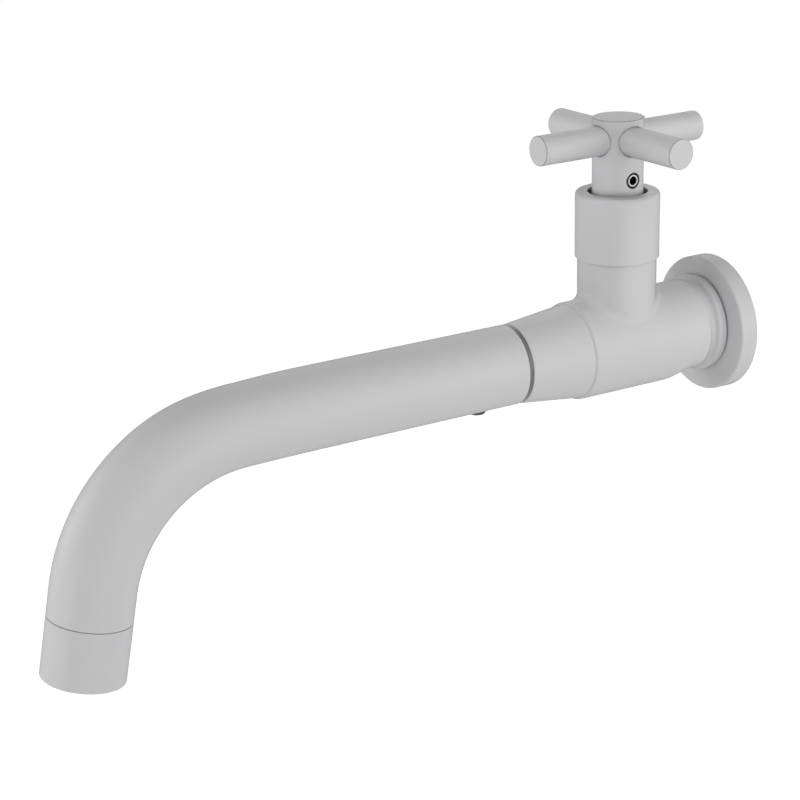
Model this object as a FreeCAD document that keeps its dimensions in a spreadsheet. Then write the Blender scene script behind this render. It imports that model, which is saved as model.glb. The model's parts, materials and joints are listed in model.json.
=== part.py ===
import FreeCAD, Part
import math
import os
import re

import Sketcher

# A wall tap with one inlet: a cast body on a round wall rose, a quarter-turn ceramic headwork under
# a cross handle, and a long bent spout that swivels on a nipple in the front of the body.
#
# The frame has +Z up, its origin at the centre of the rose's wall face, and the spout along -Y.
# Distances out of the wall are called depths, and distances above the body's axis are heights.

Vector = FreeCAD.Vector
Rotation = FreeCAD.Rotation

AXES = {"x": Vector(1, 0, 0), "y": Vector(0, 1, 0), "z": Vector(0, 0, 1)}

# The spokes' sides of the hub, evenly spaced from the grub screw's, anticlockwise from above.
SPOKES = ["right", "rear", "left", "front"]

# Rings of cells round the middle one in the outlet's insert.
CELL_RINGS = 3

# Edges are picked by where they lie, to within this distance in millimetres.
NEARNESS = 1e-4

# Driving dimensions, in millimetres and degrees.
SIZES = {
    # Wall rose and its gasket
    "rose_radius": 24.6,
    "rose_thickness": 6.9,
    "rose_rim": 3.5,
    "rose_plate": 2.9,
    "rose_round": 0.4,
    "rose_clearance": 0.4,
    "gasket_clearance": 0.3,
    "gasket_bore_clearance": 1.0,
    # Threaded tail and waterways of the body
    "tail_radius": 10.4775,
    "tail_length": 11.5,
    "tail_chamfer": 1.2,
    "shank_radius": 9.6,
    "inlet_bore_radius": 6.0,
    "inlet_bore_overrun": 1.2,
    "seat_height": 9.0,
    "seat_port_radius": 5.0,
    "passage_radius": 4.0,
    "passage_tilt": 35.5,
    "passage_height": 15.0,
    "passage_offset": 4.5,
    "front_bore_length": 27.0,
    # Outside of the body
    "boss_radius": 14.5,
    "boss_length": 1.1,
    "collar_radius": 17.4,
    "collar_length": 2.2,
    "flare_length": 2.7,
    "waist_radius": 16.0,
    "shoulder_length": 3.4,
    "barrel_radius": 17.4,
    "barrel_length": 48.9,
    "lip_step": 0.7,
    "lip_length": 1.2,
    "cone_length": 22.4,
    "rim_round": 0.3,
    "branch_offset": 37.55,
    "branch_radius": 13.95,
    "branch_height": 31.7,
    "branch_blend": 3.5,
    # Swivel joint between body and spout
    "nipple_thread_radius": 8.331,
    "nipple_thread_length": 10.0,
    "nipple_radius": 9.5,
    "nipple_reach": 25.0,
    "nipple_bore_radius": 5.2,
    "nipple_key_flats": 11.0,
    "nipple_key_depth": 5.0,
    "nipple_chamfer": 0.8,
    "counterbore_depth": 3.0,
    "counterbore_clearance": 0.15,
    "nipple_seal_thickness": 1.0,
    "washer_thickness": 1.5,
    "washer_recess": 0.2,
    "swivel_limit": 60.0,
    "swivel_fit": 0.06,
    "running_clearance": 0.06,
    "thread_clearance": 0.05,
    "ring_section": 1.78,
    "ring_groove_width": 2.3,
    "ring_spacing": 4.2,
    "ring_setback": 3.2,
    # Spout
    "spout_radius": 14.0,
    "spout_wall": 1.5,
    "spout_straight": 102.6,
    "bend_radius": 55.7,
    "bend_angle": 78.5,
    "outlet_straight": 9.35,
    "socket_length": 27.0,
    "screw_setback": 13.2,
    "screw_radius": 2.0,
    "screw_head_radius": 3.2,
    "screw_head_height": 1.5,
    "screw_head_dome": 0.7,
    "screw_point_radius": 1.6,
    "screw_key_flats": 2.5,
    "screw_key_depth": 0.8,
    "spotface_depth": 0.4,
    "spotface_clearance": 0.2,
    "slot_depth": 1.5,
    "slot_clearance": 0.35,
    # Outlet
    "outlet_thread_radius": 11.0,
    "outlet_thread_length": 8.0,
    "adaptor_bore_radius": 8.6,
    "adaptor_length": 6.5,
    "aerator_length": 20.6,
    "aerator_seam": 0.25,
    "aerator_round": 0.7,
    "aerator_chamfer": 0.25,
    "aerator_lip": 1.5,
    "aerator_mouth_radius": 9.9,
    "insert_clearance": 0.15,
    "strainer_thickness": 0.8,
    "strainer_rise": 1.6,
    "strainer_rim": 2.2,
    "strainer_hole_radius": 0.8,
    "outlet_washer_thickness": 2.0,
    "outlet_washer_width": 2.1,
    "cell_pitch": 2.75,
    "cell_wall": 0.45,
    # Headwork
    "headwork_thread_radius": 10.4775,
    "headwork_thread_length": 9.5,
    "flange_gasket_thickness": 1.0,
    "flange_gasket_width": 1.8,
    "flange_radius": 12.4,
    "flange_height": 1.5,
    "hex_flats": 21.0,
    "hex_height": 5.5,
    "neck_radius": 9.0,
    "neck_length": 11.0,
    "skirt_radius": 9.25,
    "chamber_radius": 8.35,
    "skirt_gap": 1.5,
    "window_width": 10.0,
    "key_width": 3.0,
    "key_clearance": 0.15,
    "seal_height": 3.5,
    "seal_width": 1.2,
    "disc_clearance": 0.15,
    "disc_thickness": 3.5,
    "disc_film": 0.02,
    "port_inner_radius": 2.4,
    "port_outer_radius": 6.8,
    "port_angle": 76.0,
    "cavity_height": 2.0,
    # Spindle
    "turn_limit": 90.0,
    "carrier_clearance": 0.3,
    "carrier_thickness": 2.5,
    "tongue_width": 3.0,
    "tongue_length": 10.0,
    "tongue_height": 1.2,
    "slot_play": 0.1,
    "thrust_washer_radius": 6.5,
    "thrust_washer_thickness": 1.0,
    "stop_inner_radius": 7.1,
    "stop_angle": 30.0,
    "stop_height": 2.6,
    "stop_clearance": 0.3,
    "stop_margin": 2.0,
    "spindle_radius": 4.5,
    "spindle_ring_section": 1.3,
    "spindle_groove_width": 1.8,
    "spindle_ring_first": 9.0,
    "circlip_radius": 6.0,
    "circlip_thickness": 0.9,
    "circlip_groove_depth": 0.6,
    "circlip_opening": 70.0,
    "spline_radius": 4.0,
    "spline_tooth_height": 0.45,
    "spline_teeth": 20,
    "spline_length": 10.0,
    "spline_clearance": 0.06,
    # Bonnet sleeve
    "sleeve_radius": 14.8,
    "sleeve_wall": 2.0,
    "sleeve_length": 23.4,
    "sleeve_mouth_radius": 10.2,
    "sleeve_thread_length": 5.0,
    "sleeve_round": 1.3,
    "sleeve_inner_round": 0.4,
    # Cross handle
    "handle_rest_turn": 1.55,
    "hub_radius": 8.95,
    "hub_height": 28.5,
    "hub_gap": 0.84,
    "hub_chamfer": 0.4,
    "hub_bore_runout": 0.5,
    "spoke_radius": 5.2,
    "spoke_reach": 33.9,
    "spoke_drop": 7.5,
    "spoke_seat": 7.2,
    "spoke_chamfer": 0.4,
    "spoke_fit": 0.03,
    "spigot_radius": 2.5,
    "spigot_length": 3.6,
    "grub_radius": 2.5,
    "grub_rise": 7.5,
    "grub_sunk": 0.35,
    "grub_key_flats": 2.5,
    "grub_key_depth": 2.0,
    "grub_countersink": 0.35,
}

# Places and sizes that follow from the driving dimensions.
PLACES = {
    "rose_recess": "rose_thickness - rose_plate",
    "rose_bore_radius": "tail_radius + rose_clearance",
    "boss_end": "rose_thickness + boss_length",
    "collar_end": "boss_end + collar_length",
    "flare_step": "collar_radius - waist_radius",
    "flare_round": "(flare_length ^ 2 + flare_step ^ 2) / (4 * flare_step)",
    "waist_depth": "collar_end + flare_length",
    "shoulder_step": "barrel_radius - waist_radius",
    "shoulder_round": "(shoulder_length ^ 2 + shoulder_step ^ 2) / (4 * shoulder_step)",
    "lip_round": "(lip_length ^ 2 + lip_step ^ 2) / (2 * lip_step)",
    "barrel_start": "waist_depth + shoulder_length",
    "barrel_end": "barrel_start + barrel_length",
    "cone_start": "barrel_end + lip_length",
    "cone_end": "cone_start + cone_length",
    "branch_depth": "rose_thickness + branch_offset",
    "spout_start": "cone_end + washer_thickness + running_clearance",
    "tube_bore_radius": "spout_radius - spout_wall",
    "ring_groove_depth": "ring_section",
    "ring_path_radius": "nipple_radius - ring_section / 2",
    "last_ring": "nipple_reach - ring_setback",
    "first_ring": "last_ring - ring_spacing",
    "screw_depth": "washer_thickness + running_clearance + screw_setback",
    "slot_half_width": "screw_point_radius + slot_clearance",
    "slot_span": "2 * (swivel_limit + asin(slot_half_width / (nipple_radius - slot_depth)) / 1 deg)",
    "spout_bend_drop": "bend_radius * (1 - cos(bend_angle))",
    "spout_bend_reach": "bend_radius * sin(bend_angle)",
    "outlet_depth": "spout_start + spout_straight + spout_bend_reach + outlet_straight * cos(bend_angle)",
    "outlet_drop": "spout_bend_drop + outlet_straight * sin(bend_angle)",
    "aerator_bore_radius": "outlet_thread_radius + thread_clearance",
    "insert_radius": "aerator_bore_radius - insert_clearance",
    "insert_end": "aerator_length - aerator_lip",
    "strainer_start": "outlet_thread_length + outlet_washer_thickness",
    "insert_start": "strainer_start + strainer_thickness",
    "fixed_disc_height": "seat_height + seal_height",
    "moving_disc_height": "fixed_disc_height + disc_thickness + disc_film",
    "carrier_height": "moving_disc_height + disc_thickness",
    "washer_height": "carrier_height + carrier_thickness",
    "ceiling_height": "washer_height + thrust_washer_thickness + running_clearance",
    "flange_seat": "branch_height + flange_gasket_thickness",
    "neck_top": "flange_seat + flange_height + hex_height + neck_length",
    "hub_bottom": "neck_top + running_clearance + circlip_thickness + hub_gap",
    "spline_start": "hub_bottom - carrier_height",
    "sleeve_bore_radius": "sleeve_radius - sleeve_wall",
    "sleeve_thread_start": "flange_gasket_thickness + flange_height + hex_height + 0.5",
    "moving_disc_radius": "chamber_radius - carrier_clearance",
    "spoke_height": "hub_height - spoke_drop",
}

doc = FreeCAD.newDocument("WallTap")


def fill_sheet(name, cells):
    """Make a spreadsheet with one named row for each entry of cells."""
    sheet = doc.addObject("Spreadsheet::Sheet", name)
    for row, (alias, text) in enumerate(cells.items(), start=1):
        sheet.set("A%d" % row, alias)
        sheet.set("B%d" % row, text)
        sheet.setAlias("B%d" % row, alias)
    return sheet


def bound(formula):
    """Return the formula with each named size led by the sheet that holds it."""
    def lead(word):
        if word[0] in SIZES:
            return "Sizes." + word[0]
        if word[0] in PLACES:
            return "Places." + word[0]
        return word[0]
    return re.sub(r"[a-z_]+", lead, formula)


sizes_sheet = fill_sheet("Sizes", {alias: str(number) for alias, number in SIZES.items()})
doc.recompute()
places_sheet = fill_sheet("Places", {alias: "=" + bound(formula) for alias, formula in PLACES.items()})
doc.recompute()


def value(formula):
    """Work out a formula of named sizes as a number."""
    return float(places_sheet.evalExpression(bound(formula)))


def place(item, base=("0", "0", "0"), axis="z", angle="0"):
    """Bind an object's position to three formulas and its turn about one axis to a fourth."""
    item.Placement = FreeCAD.Placement(
        Vector(*[value(formula) for formula in base]), Rotation(AXES[axis], value(angle)))
    for letter, formula in zip("xyz", base):
        item.setExpression("Placement.Base." + letter, bound(formula))
    item.setExpression("Placement.Rotation.Angle", bound(angle))


def lay(item, base, heading):
    """Bind an object's position to three formulas and lay its own Z axis flat along a heading.

    The heading is an angle from the right, anticlockwise seen from above.
    """
    place(item, base, "y", "90")
    for letter, formula in (("x", "-sin(%s)"), ("y", "cos(%s)")):
        item.setExpression("Placement.Rotation.Axis." + letter, bound(formula % heading))


def new_body(name, base=("0", "0", "0"), axis="z", angle="0"):
    """Make an empty body with its name and place."""
    body = doc.addObject("PartDesign::Body", name)
    body.Label = name
    place(body, base, axis, angle)
    return body


def out_of_wall(name, depth="0"):
    """Make a body whose own Z axis points out of the wall and whose own Y axis points up."""
    return new_body(name, ("0", "-(%s)" % depth, "0"), "x", "90")


def on_branch(name, height):
    """Make a body on the upright axis of the headwork, at a height above the body's axis."""
    return new_body(name, ("0", "-branch_depth", height))


def at_outlet(name, distance="0"):
    """Make a body on the outlet's axis, at a distance beyond the end of the spout's tube."""
    depth = "outlet_depth + (%s) * cos(bend_angle)" % distance
    drop = "outlet_drop + (%s) * sin(bend_angle)" % distance
    return new_body(name, ("0", "-(%s)" % depth, "-(%s)" % drop), "x", "90 + bend_angle")


def new_sketch(body, name, plane, lift="0", facing="0"):
    """Attach an empty sketch to one of the body's own planes, lifted off it along its normal.

    Facing turns it about the body's Z axis, which is the sketch's own Y axis on an upright plane.
    """
    sketch = body.newObject("Sketcher::SketchObject", name)
    support = [item for item in body.Origin.OriginFeatures if item.Role == plane + "_Plane"][0]
    sketch.AttachmentSupport = (support, "")
    sketch.MapMode = "FlatFace"
    turn_axis = AXES["z"] if plane == "XY" else AXES["y"]
    sketch.AttachmentOffset = FreeCAD.Placement(
        Vector(0, 0, value(lift)), Rotation(turn_axis, value(facing)))
    sketch.setExpression("AttachmentOffset.Base.z", bound(lift))
    sketch.setExpression("AttachmentOffset.Rotation.Angle", bound(facing))
    return sketch


def hold(sketch, kind, geometry, point, formula):
    """Fix one coordinate of a sketch point at a formula measured from the sketch's origin."""
    if formula == "0":
        axis = -2 if kind == "DistanceX" else -1
        sketch.addConstraint(Sketcher.Constraint("PointOnObject", geometry, point, axis))
        return
    constraint = Sketcher.Constraint(kind, -1, 1, geometry, point, value(formula))
    index = sketch.addConstraint(constraint)
    sketch.setExpression("Constraints[%d]" % index, bound(formula))


def hold_radius(sketch, geometry, formula):
    """Fix the radius of a circle or an arc."""
    index = sketch.addConstraint(Sketcher.Constraint("Radius", geometry, value(formula)))
    sketch.setExpression("Constraints[%d]" % index, bound(formula))


def arc_between(start, end, radius, side):
    """Return the short arc from start to end whose centre lies on the named side of the way."""
    way = end - start
    normal = Vector(-way.y, way.x, 0).normalize() * (1 if side == "left" else -1)
    centre = (start + end) / 2 + normal * math.sqrt(radius ** 2 - way.Length ** 2 / 4)
    first, last = (start, end) if side == "left" else (end, start)
    angles = [math.atan2(point.y - centre.y, point.x - centre.x) for point in (first, last)]
    return Part.ArcOfCircle(Part.Circle(centre, AXES["z"], radius), angles[0], angles[1])


def draw_outline(sketch, points):
    """Draw a closed outline through points given as pairs of formulas.

    A point with a radius and a side after its pair starts an arc to the next point, with its centre
    on that side of the way. The others start straight lines.
    """
    corners = [Vector(value(across), value(along), 0) for across, along, *arc in points]
    ends = []
    for index, (across, along, *arc) in enumerate(points):
        start = corners[index]
        end = corners[(index + 1) % len(corners)]
        if arc:
            radius, side = arc
            sketch.addGeometry(arc_between(start, end, value(radius), side), False)
            ends.append((1, 2) if side == "left" else (2, 1))
        else:
            sketch.addGeometry(Part.LineSegment(start, end), False)
            ends.append((1, 2))
    for index, (across, along, *arc) in enumerate(points):
        first, last = ends[index]
        following = (index + 1) % len(ends)
        sketch.addConstraint(Sketcher.Constraint("Coincident", index, last, following, ends[following][0]))
        hold(sketch, "DistanceX", index, first, across)
        hold(sketch, "DistanceY", index, first, along)
        if arc:
            hold_radius(sketch, index, arc[0])


def draw_circle(sketch, radius, across="0", along="0"):
    """Draw a circle with its centre at two formulas."""
    centre = Vector(value(across), value(along), 0)
    index = sketch.addGeometry(Part.Circle(centre, AXES["z"], value(radius)), False)
    if across == "0" and along == "0":
        sketch.addConstraint(Sketcher.Constraint("Coincident", index, 3, -1, 1))
    else:
        hold(sketch, "DistanceX", index, 3, across)
        hold(sketch, "DistanceY", index, 3, along)
    hold_radius(sketch, index, radius)


def turn(body, name, points, kind="Revolution", angle="360", facing="0"):
    """Turn an outline of (radius, height) points about the body's Z axis, to add or to cut."""
    sketch = new_sketch(body, name + "Outline", "XZ", "0", facing)
    draw_outline(sketch, points)
    feature = body.newObject("PartDesign::" + kind, name)
    feature.Profile = sketch
    feature.ReferenceAxis = (sketch, ["V_Axis"])
    feature.Midplane = True
    feature.setExpression("Angle", bound(angle))
    return feature


def rectangle(low_across, low_along, high_across, high_along):
    """Return the four corners of an upright rectangle."""
    return [(low_across, low_along), (high_across, low_along),
            (high_across, high_along), (low_across, high_along)]


def extrude(body, name, plane, points, length, kind="Pad", lift="0", through=False, facing="0"):
    """Pad or pocket a straight-sided outline, to both sides of its plane where it goes through."""
    sketch = new_sketch(body, name + "Outline", plane, lift, facing)
    draw_outline(sketch, points)
    feature = body.newObject("PartDesign::" + kind, name)
    feature.Profile = sketch
    feature.Midplane = through
    feature.Reversed = kind == "Pocket" and not through
    feature.setExpression("Length", bound(length))
    return feature


def drill(body, name, radius, length, base=("0", "0", "0"), axis="z", angle="0"):
    """Cut a round hole from its base point along the Z axis as turned by axis and angle."""
    cutter = body.newObject("PartDesign::SubtractiveCylinder", name)
    cutter.setExpression("Radius", bound(radius))
    cutter.setExpression("Height", bound(length))
    place(cutter, base, axis, angle)
    return cutter


def hexagon(body, name, flats, height, base=("0", "0", "0"), cut=True):
    """Cut or add a hexagonal prism of a width across flats, standing on its base point."""
    kind = "SubtractivePrism" if cut else "AdditivePrism"
    prism = body.newObject("PartDesign::" + kind, name)
    prism.Polygon = 6
    prism.setExpression("Circumradius", bound("%s / 2 / cos(30)" % flats))
    prism.setExpression("Height", bound(height))
    place(prism, base)
    return prism


def repeat(body, name, features, count):
    """Repeat features round the body's Z axis."""
    pattern = body.newObject("PartDesign::PolarPattern", name)
    pattern.Originals = features
    axis = [item for item in body.Origin.OriginFeatures if item.Role == "Z_Axis"][0]
    pattern.Axis = (axis, [""])
    pattern.Angle = 360
    pattern.Occurrences = count
    body.Tip = pattern
    return pattern


def soften(body, name, kind, size, is_chosen):
    """Round or chamfer the edges of the finished features that is_chosen accepts."""
    doc.recompute()
    base = body.Tip
    names = ["Edge%d" % index for index, edge in enumerate(base.Shape.Edges, start=1) if is_chosen(edge)]
    if not names:
        raise ValueError("%s: no edge for %s" % (body.Label, name))
    feature = body.newObject("PartDesign::" + kind, name)
    feature.Base = (base, names)
    feature.setExpression("Radius" if kind == "Fillet" else "Size", bound(size))
    body.Tip = feature
    return feature


def rings(*wanted):
    """Return a test for the round edges about the Z axis at the given (radius, height) pairs."""
    targets = [(value(radius), value(height)) for radius, height in wanted]

    def is_ring(edge):
        if not isinstance(edge.Curve, Part.Circle):
            return False
        centre = edge.Curve.Center
        if abs(centre.x) + abs(centre.y) > NEARNESS:
            return False
        return any(abs(edge.Curve.Radius - radius) < NEARNESS and abs(centre.z - height) < NEARNESS
                   for radius, height in targets)
    return is_ring


def ring_piece(body, inner, outer, thickness):
    """Give the body one flat ring that stands on its own origin."""
    turn(body, "Ring", rectangle(inner, "0", outer, thickness))
    return body


def two_rings(name, members, base, axis, angle):
    """Group separate rings as one sub-part with one place."""
    group = doc.addObject("Part::Compound", name)
    group.Label = name
    group.Links = members
    place(group, base, axis, angle)
    return group


def rubber_ring(name, path_radius, section, height):
    """Make one ring of round section about the Z axis."""
    ring = doc.addObject("Part::Torus", name)
    ring.setExpression("Radius1", bound(path_radius))
    ring.setExpression("Radius2", bound("%s / 2" % section))
    place(ring, ("0", "0", height))
    return ring


# Wall end


def make_valve_body():
    """Cast body: threaded tail, collar, waist, barrel, cone, headwork branch and its waterways."""
    body = out_of_wall("valve_body")
    turn(body, "Casting", [
        ("0", "-tail_length"),
        ("tail_radius", "-tail_length"),
        ("tail_radius", "0"),
        ("shank_radius", "0"),
        ("shank_radius", "rose_thickness"),
        ("boss_radius", "rose_thickness"),
        ("boss_radius", "boss_end"),
        ("collar_radius", "boss_end"),
        ("collar_radius", "collar_end", "flare_round", "left"),
        ("waist_radius + flare_step / 2", "collar_end + flare_length / 2", "flare_round", "right"),
        ("waist_radius", "waist_depth", "shoulder_round", "right"),
        ("waist_radius + shoulder_step / 2", "waist_depth + shoulder_length / 2", "shoulder_round", "left"),
        ("barrel_radius", "barrel_start"),
        ("barrel_radius", "barrel_end", "lip_round", "left"),
        ("barrel_radius - lip_step", "cone_start"),
        ("spout_radius", "cone_end"),
        ("0", "cone_end"),
    ])
    branch = new_sketch(body, "BranchOutline", "XZ")
    draw_circle(branch, "branch_radius", "0", "branch_depth")
    pad = body.newObject("PartDesign::Pad", "Branch")
    pad.Profile = branch
    pad.Reversed = True
    pad.setExpression("Length", bound("branch_height"))

    branch_radius = value("branch_radius")
    branch_depth = value("branch_depth")

    def meets_branch(edge):
        if isinstance(edge.Curve, (Part.Line, Part.Circle)):
            return False
        point = edge.valueAt((edge.FirstParameter + edge.LastParameter) / 2)
        away = Vector(point.x, 0, point.z - branch_depth).Length
        return abs(away - branch_radius) < NEARNESS

    soften(body, "BranchBlend", "Fillet", "branch_blend", meets_branch)
    soften(body, "RimRound", "Fillet", "rim_round",
           rings(("spout_radius", "cone_end"), ("collar_radius", "boss_end")))
    soften(body, "TailChamfer", "Chamfer", "tail_chamfer", rings(("tail_radius", "-tail_length")))

    drill(body, "InletBore", "inlet_bore_radius",
          "tail_length + branch_depth + seat_port_radius + inlet_bore_overrun", ("0", "0", "-tail_length"))
    drill(body, "SeatPort", "seat_port_radius", "branch_height", ("0", "0", "branch_depth"), "x", "-90")
    drill(body, "HeadworkBore", "headwork_thread_radius", "branch_height - seat_height",
          ("0", "seat_height", "branch_depth"), "x", "-90")
    drill(body, "Passage", "passage_radius",
          "(cone_end - front_bore_length + passage_radius - branch_depth) / cos(passage_tilt)",
          ("0", "passage_height", "branch_depth + passage_offset"), "x", "passage_tilt")
    turn(body, "FrontBore", [
        ("0", "cone_end - front_bore_length"),
        ("nipple_thread_radius", "cone_end - front_bore_length"),
        ("nipple_thread_radius", "cone_end - counterbore_depth"),
        ("nipple_radius + counterbore_clearance", "cone_end - counterbore_depth"),
        ("nipple_radius + counterbore_clearance", "cone_end"),
        ("0", "cone_end"),
    ], "Groove")
    return body


def make_wall_rose():
    """Round cover plate with a recess for its gasket, held between the body's boss and the wall."""
    body = out_of_wall("wall_rose")
    turn(body, "Plate", [
        ("rose_radius - rose_rim", "0"),
        ("rose_radius", "0"),
        ("rose_radius", "rose_thickness"),
        ("rose_bore_radius", "rose_thickness"),
        ("rose_bore_radius", "rose_recess"),
        ("rose_radius - rose_rim", "rose_recess"),
    ])
    soften(body, "FrontRound", "Fillet", "rose_round", rings(("rose_radius", "rose_thickness")))
    return body


def make_wall_gasket():
    """Soft ring that fills the rose's recess and seals it to the wall."""
    return ring_piece(out_of_wall("wall_gasket"), "tail_radius + gasket_bore_clearance",
                      "rose_radius - rose_rim - gasket_clearance", "rose_recess")


# Swivel joint


def make_swivel_nipple():
    """Nipple screwed into the body: two ring grooves, a stop slot and a key hexagon in its bore."""
    body = out_of_wall("swivel_nipple", "cone_end")
    shoulder = "(nipple_seal_thickness - counterbore_depth)"
    turn(body, "Shank", [
        ("nipple_bore_radius", shoulder + " - nipple_thread_length"),
        ("nipple_thread_radius - thread_clearance", shoulder + " - nipple_thread_length"),
        ("nipple_thread_radius - thread_clearance", shoulder),
        ("nipple_radius", shoulder),
        ("nipple_radius", "nipple_reach"),
        ("nipple_bore_radius", "nipple_reach"),
    ])
    soften(body, "LeadIn", "Chamfer", "nipple_chamfer", rings(("nipple_radius", "nipple_reach")))
    for name, height in (("FirstGroove", "first_ring"), ("LastGroove", "last_ring")):
        turn(body, name, rectangle(
            "nipple_radius - ring_groove_depth", height + " - ring_groove_width / 2",
            "nipple_radius + 1", height + " + ring_groove_width / 2"), "Groove")
    slot = new_sketch(body, "StopSlotOutline", "YZ")
    draw_outline(slot, rectangle(
        "-(nipple_radius + 1)", "screw_depth - slot_half_width",
        "-(nipple_radius - slot_depth)", "screw_depth + slot_half_width"))
    groove = body.newObject("PartDesign::Groove", "StopSlot")
    groove.Profile = slot
    groove.ReferenceAxis = (slot, ["V_Axis"])
    groove.Midplane = True
    groove.setExpression("Angle", bound("slot_span"))
    hexagon(body, "KeyHexagon", "nipple_key_flats", "nipple_key_depth",
            ("0", "0", "nipple_reach - nipple_key_depth"))
    return body


def make_nipple_seal():
    """Flat ring between the nipple's shoulder and the floor of the body's counterbore."""
    return ring_piece(out_of_wall("nipple_seal", "cone_end - counterbore_depth"),
                      "nipple_thread_radius", "nipple_radius", "nipple_seal_thickness")


def make_swivel_o_rings():
    """The two rings that seal the nipple in the spout's socket."""
    members = [rubber_ring("SwivelRing", "ring_path_radius", "ring_section", height)
               for height in ("first_ring", "last_ring")]
    return two_rings("swivel_o_rings", members, ("0", "-cone_end", "0"), "x", "90")


def make_friction_washer():
    """Dark plastic ring that the end of the spout turns against."""
    body = out_of_wall("friction_washer", "cone_end")
    return ring_piece(body, "nipple_radius + swivel_fit", "spout_radius - washer_recess",
                      "washer_thickness")


# Spout


def make_spout_tube():
    """Round tube: a long straight run, one wide bend and a short run to the outlet."""
    body = out_of_wall("spout_tube", "spout_start")
    section = new_sketch(body, "Section", "XY")
    draw_circle(section, "spout_radius")
    draw_circle(section, "tube_bore_radius")

    bend_end = ("-spout_bend_drop", "spout_straight + spout_bend_reach")
    tube_end = ("-outlet_drop", bend_end[1] + " + outlet_straight * cos(bend_angle)")
    corners = [Vector(value(across), value(along), 0)
               for across, along in (("0", "spout_straight"), bend_end, tube_end)]
    centre = Vector(-value("bend_radius"), value("spout_straight"), 0)
    circle = Part.Circle(centre, AXES["z"], value("bend_radius"))
    path = new_sketch(body, "Path", "YZ")
    path.addGeometry(Part.LineSegment(Vector(0, 0, 0), corners[0]), False)
    path.addGeometry(Part.ArcOfCircle(circle, 0, math.radians(value("bend_angle"))), False)
    path.addGeometry(Part.LineSegment(corners[1], corners[2]), False)
    path.addConstraint(Sketcher.Constraint("Coincident", 0, 1, -1, 1))
    path.addConstraint(Sketcher.Constraint("Coincident", 0, 2, 1, 1))
    path.addConstraint(Sketcher.Constraint("Coincident", 1, 2, 2, 1))
    hold(path, "DistanceX", 0, 2, "0")
    hold(path, "DistanceY", 0, 2, "spout_straight")
    hold(path, "DistanceX", 2, 1, bend_end[0])
    hold(path, "DistanceY", 2, 1, bend_end[1])
    hold(path, "DistanceX", 2, 2, tube_end[0])
    hold(path, "DistanceY", 2, 2, tube_end[1])
    hold_radius(path, 1, "bend_radius")

    pipe = body.newObject("PartDesign::AdditivePipe", "Tube")
    pipe.Profile = section
    pipe.Spine = (path, ["Edge1", "Edge2", "Edge3"])
    soften(body, "RimChamfer", "Chamfer", "rim_round", rings(("spout_radius", "0")))
    drill(body, "ScrewHole", "screw_radius + thread_clearance", "spout_radius + 1",
          ("0", "0", "screw_setback"), "x", "90")
    drill(body, "Spotface", "screw_head_radius + spotface_clearance", "spotface_depth + 1",
          ("0", "spotface_depth - spout_radius", "screw_setback"), "x", "90")
    return body


def make_spout_socket():
    """Bush brazed into the end of the tube, bored to turn on the nipple."""
    body = out_of_wall("spout_socket", "spout_start")
    turn(body, "Bush", rectangle("nipple_radius + swivel_fit", "0", "tube_bore_radius", "socket_length"))
    drill(body, "ScrewHole", "screw_radius + thread_clearance", "spout_radius",
          ("0", "0", "screw_setback"), "x", "90")
    return body


def make_retaining_screw():
    """Low round-headed screw from below, its plain point in the nipple's slot."""
    seat = "(spout_radius - spotface_depth)"
    body = new_body("retaining_screw", ("0", "-(spout_start + screw_setback)", "-" + seat))
    shank_end = seat + " - nipple_radius - swivel_fit - slot_clearance"
    turn(body, "Screw", [
        ("0", "-screw_head_height"),
        ("screw_head_radius", "-screw_head_height"),
        ("screw_head_radius", "0"),
        ("screw_radius", "0"),
        ("screw_radius", shank_end),
        ("screw_point_radius", shank_end),
        ("screw_point_radius", seat + " - nipple_radius + slot_depth - slot_clearance"),
        ("0", seat + " - nipple_radius + slot_depth - slot_clearance"),
    ])
    soften(body, "HeadDome", "Fillet", "screw_head_dome",
           rings(("screw_head_radius", "-screw_head_height")))
    hexagon(body, "KeySocket", "screw_key_flats", "screw_key_depth", ("0", "0", "-screw_head_height"))
    return body


# Outlet


def make_outlet_adaptor():
    """Ring brazed into the tube, with the outer thread that carries the aerator's housing."""
    body = at_outlet("outlet_adaptor")
    turn(body, "Ring", [
        ("adaptor_bore_radius", "-adaptor_length"),
        ("tube_bore_radius", "-adaptor_length"),
        ("tube_bore_radius", "0"),
        ("outlet_thread_radius", "0"),
        ("outlet_thread_radius", "outlet_thread_length"),
        ("adaptor_bore_radius", "outlet_thread_length"),
    ])
    return body


def make_aerator_housing():
    """Sleeve of the tube's own diameter, screwed on, with a lip that holds the insert."""
    body = at_outlet("aerator_housing")
    turn(body, "Sleeve", [
        ("aerator_bore_radius", "aerator_seam"),
        ("spout_radius", "aerator_seam"),
        ("spout_radius", "aerator_length"),
        ("aerator_mouth_radius", "aerator_length"),
        ("aerator_mouth_radius", "insert_end"),
        ("aerator_bore_radius", "insert_end"),
    ])
    soften(body, "EndRound", "Fillet", "aerator_round", rings(("spout_radius", "aerator_length")))
    soften(body, "SeamChamfer", "Chamfer", "aerator_chamfer", rings(("spout_radius", "aerator_seam")))
    soften(body, "MouthChamfer", "Chamfer", "aerator_lip / 3",
           rings(("aerator_mouth_radius", "aerator_length")))
    return body


def make_aerator_washer():
    """Rubber ring under the end of the adaptor's thread."""
    return ring_piece(at_outlet("aerator_washer", "outlet_thread_length"),
                      "insert_radius - outlet_washer_width", "insert_radius", "outlet_washer_thickness")


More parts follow.
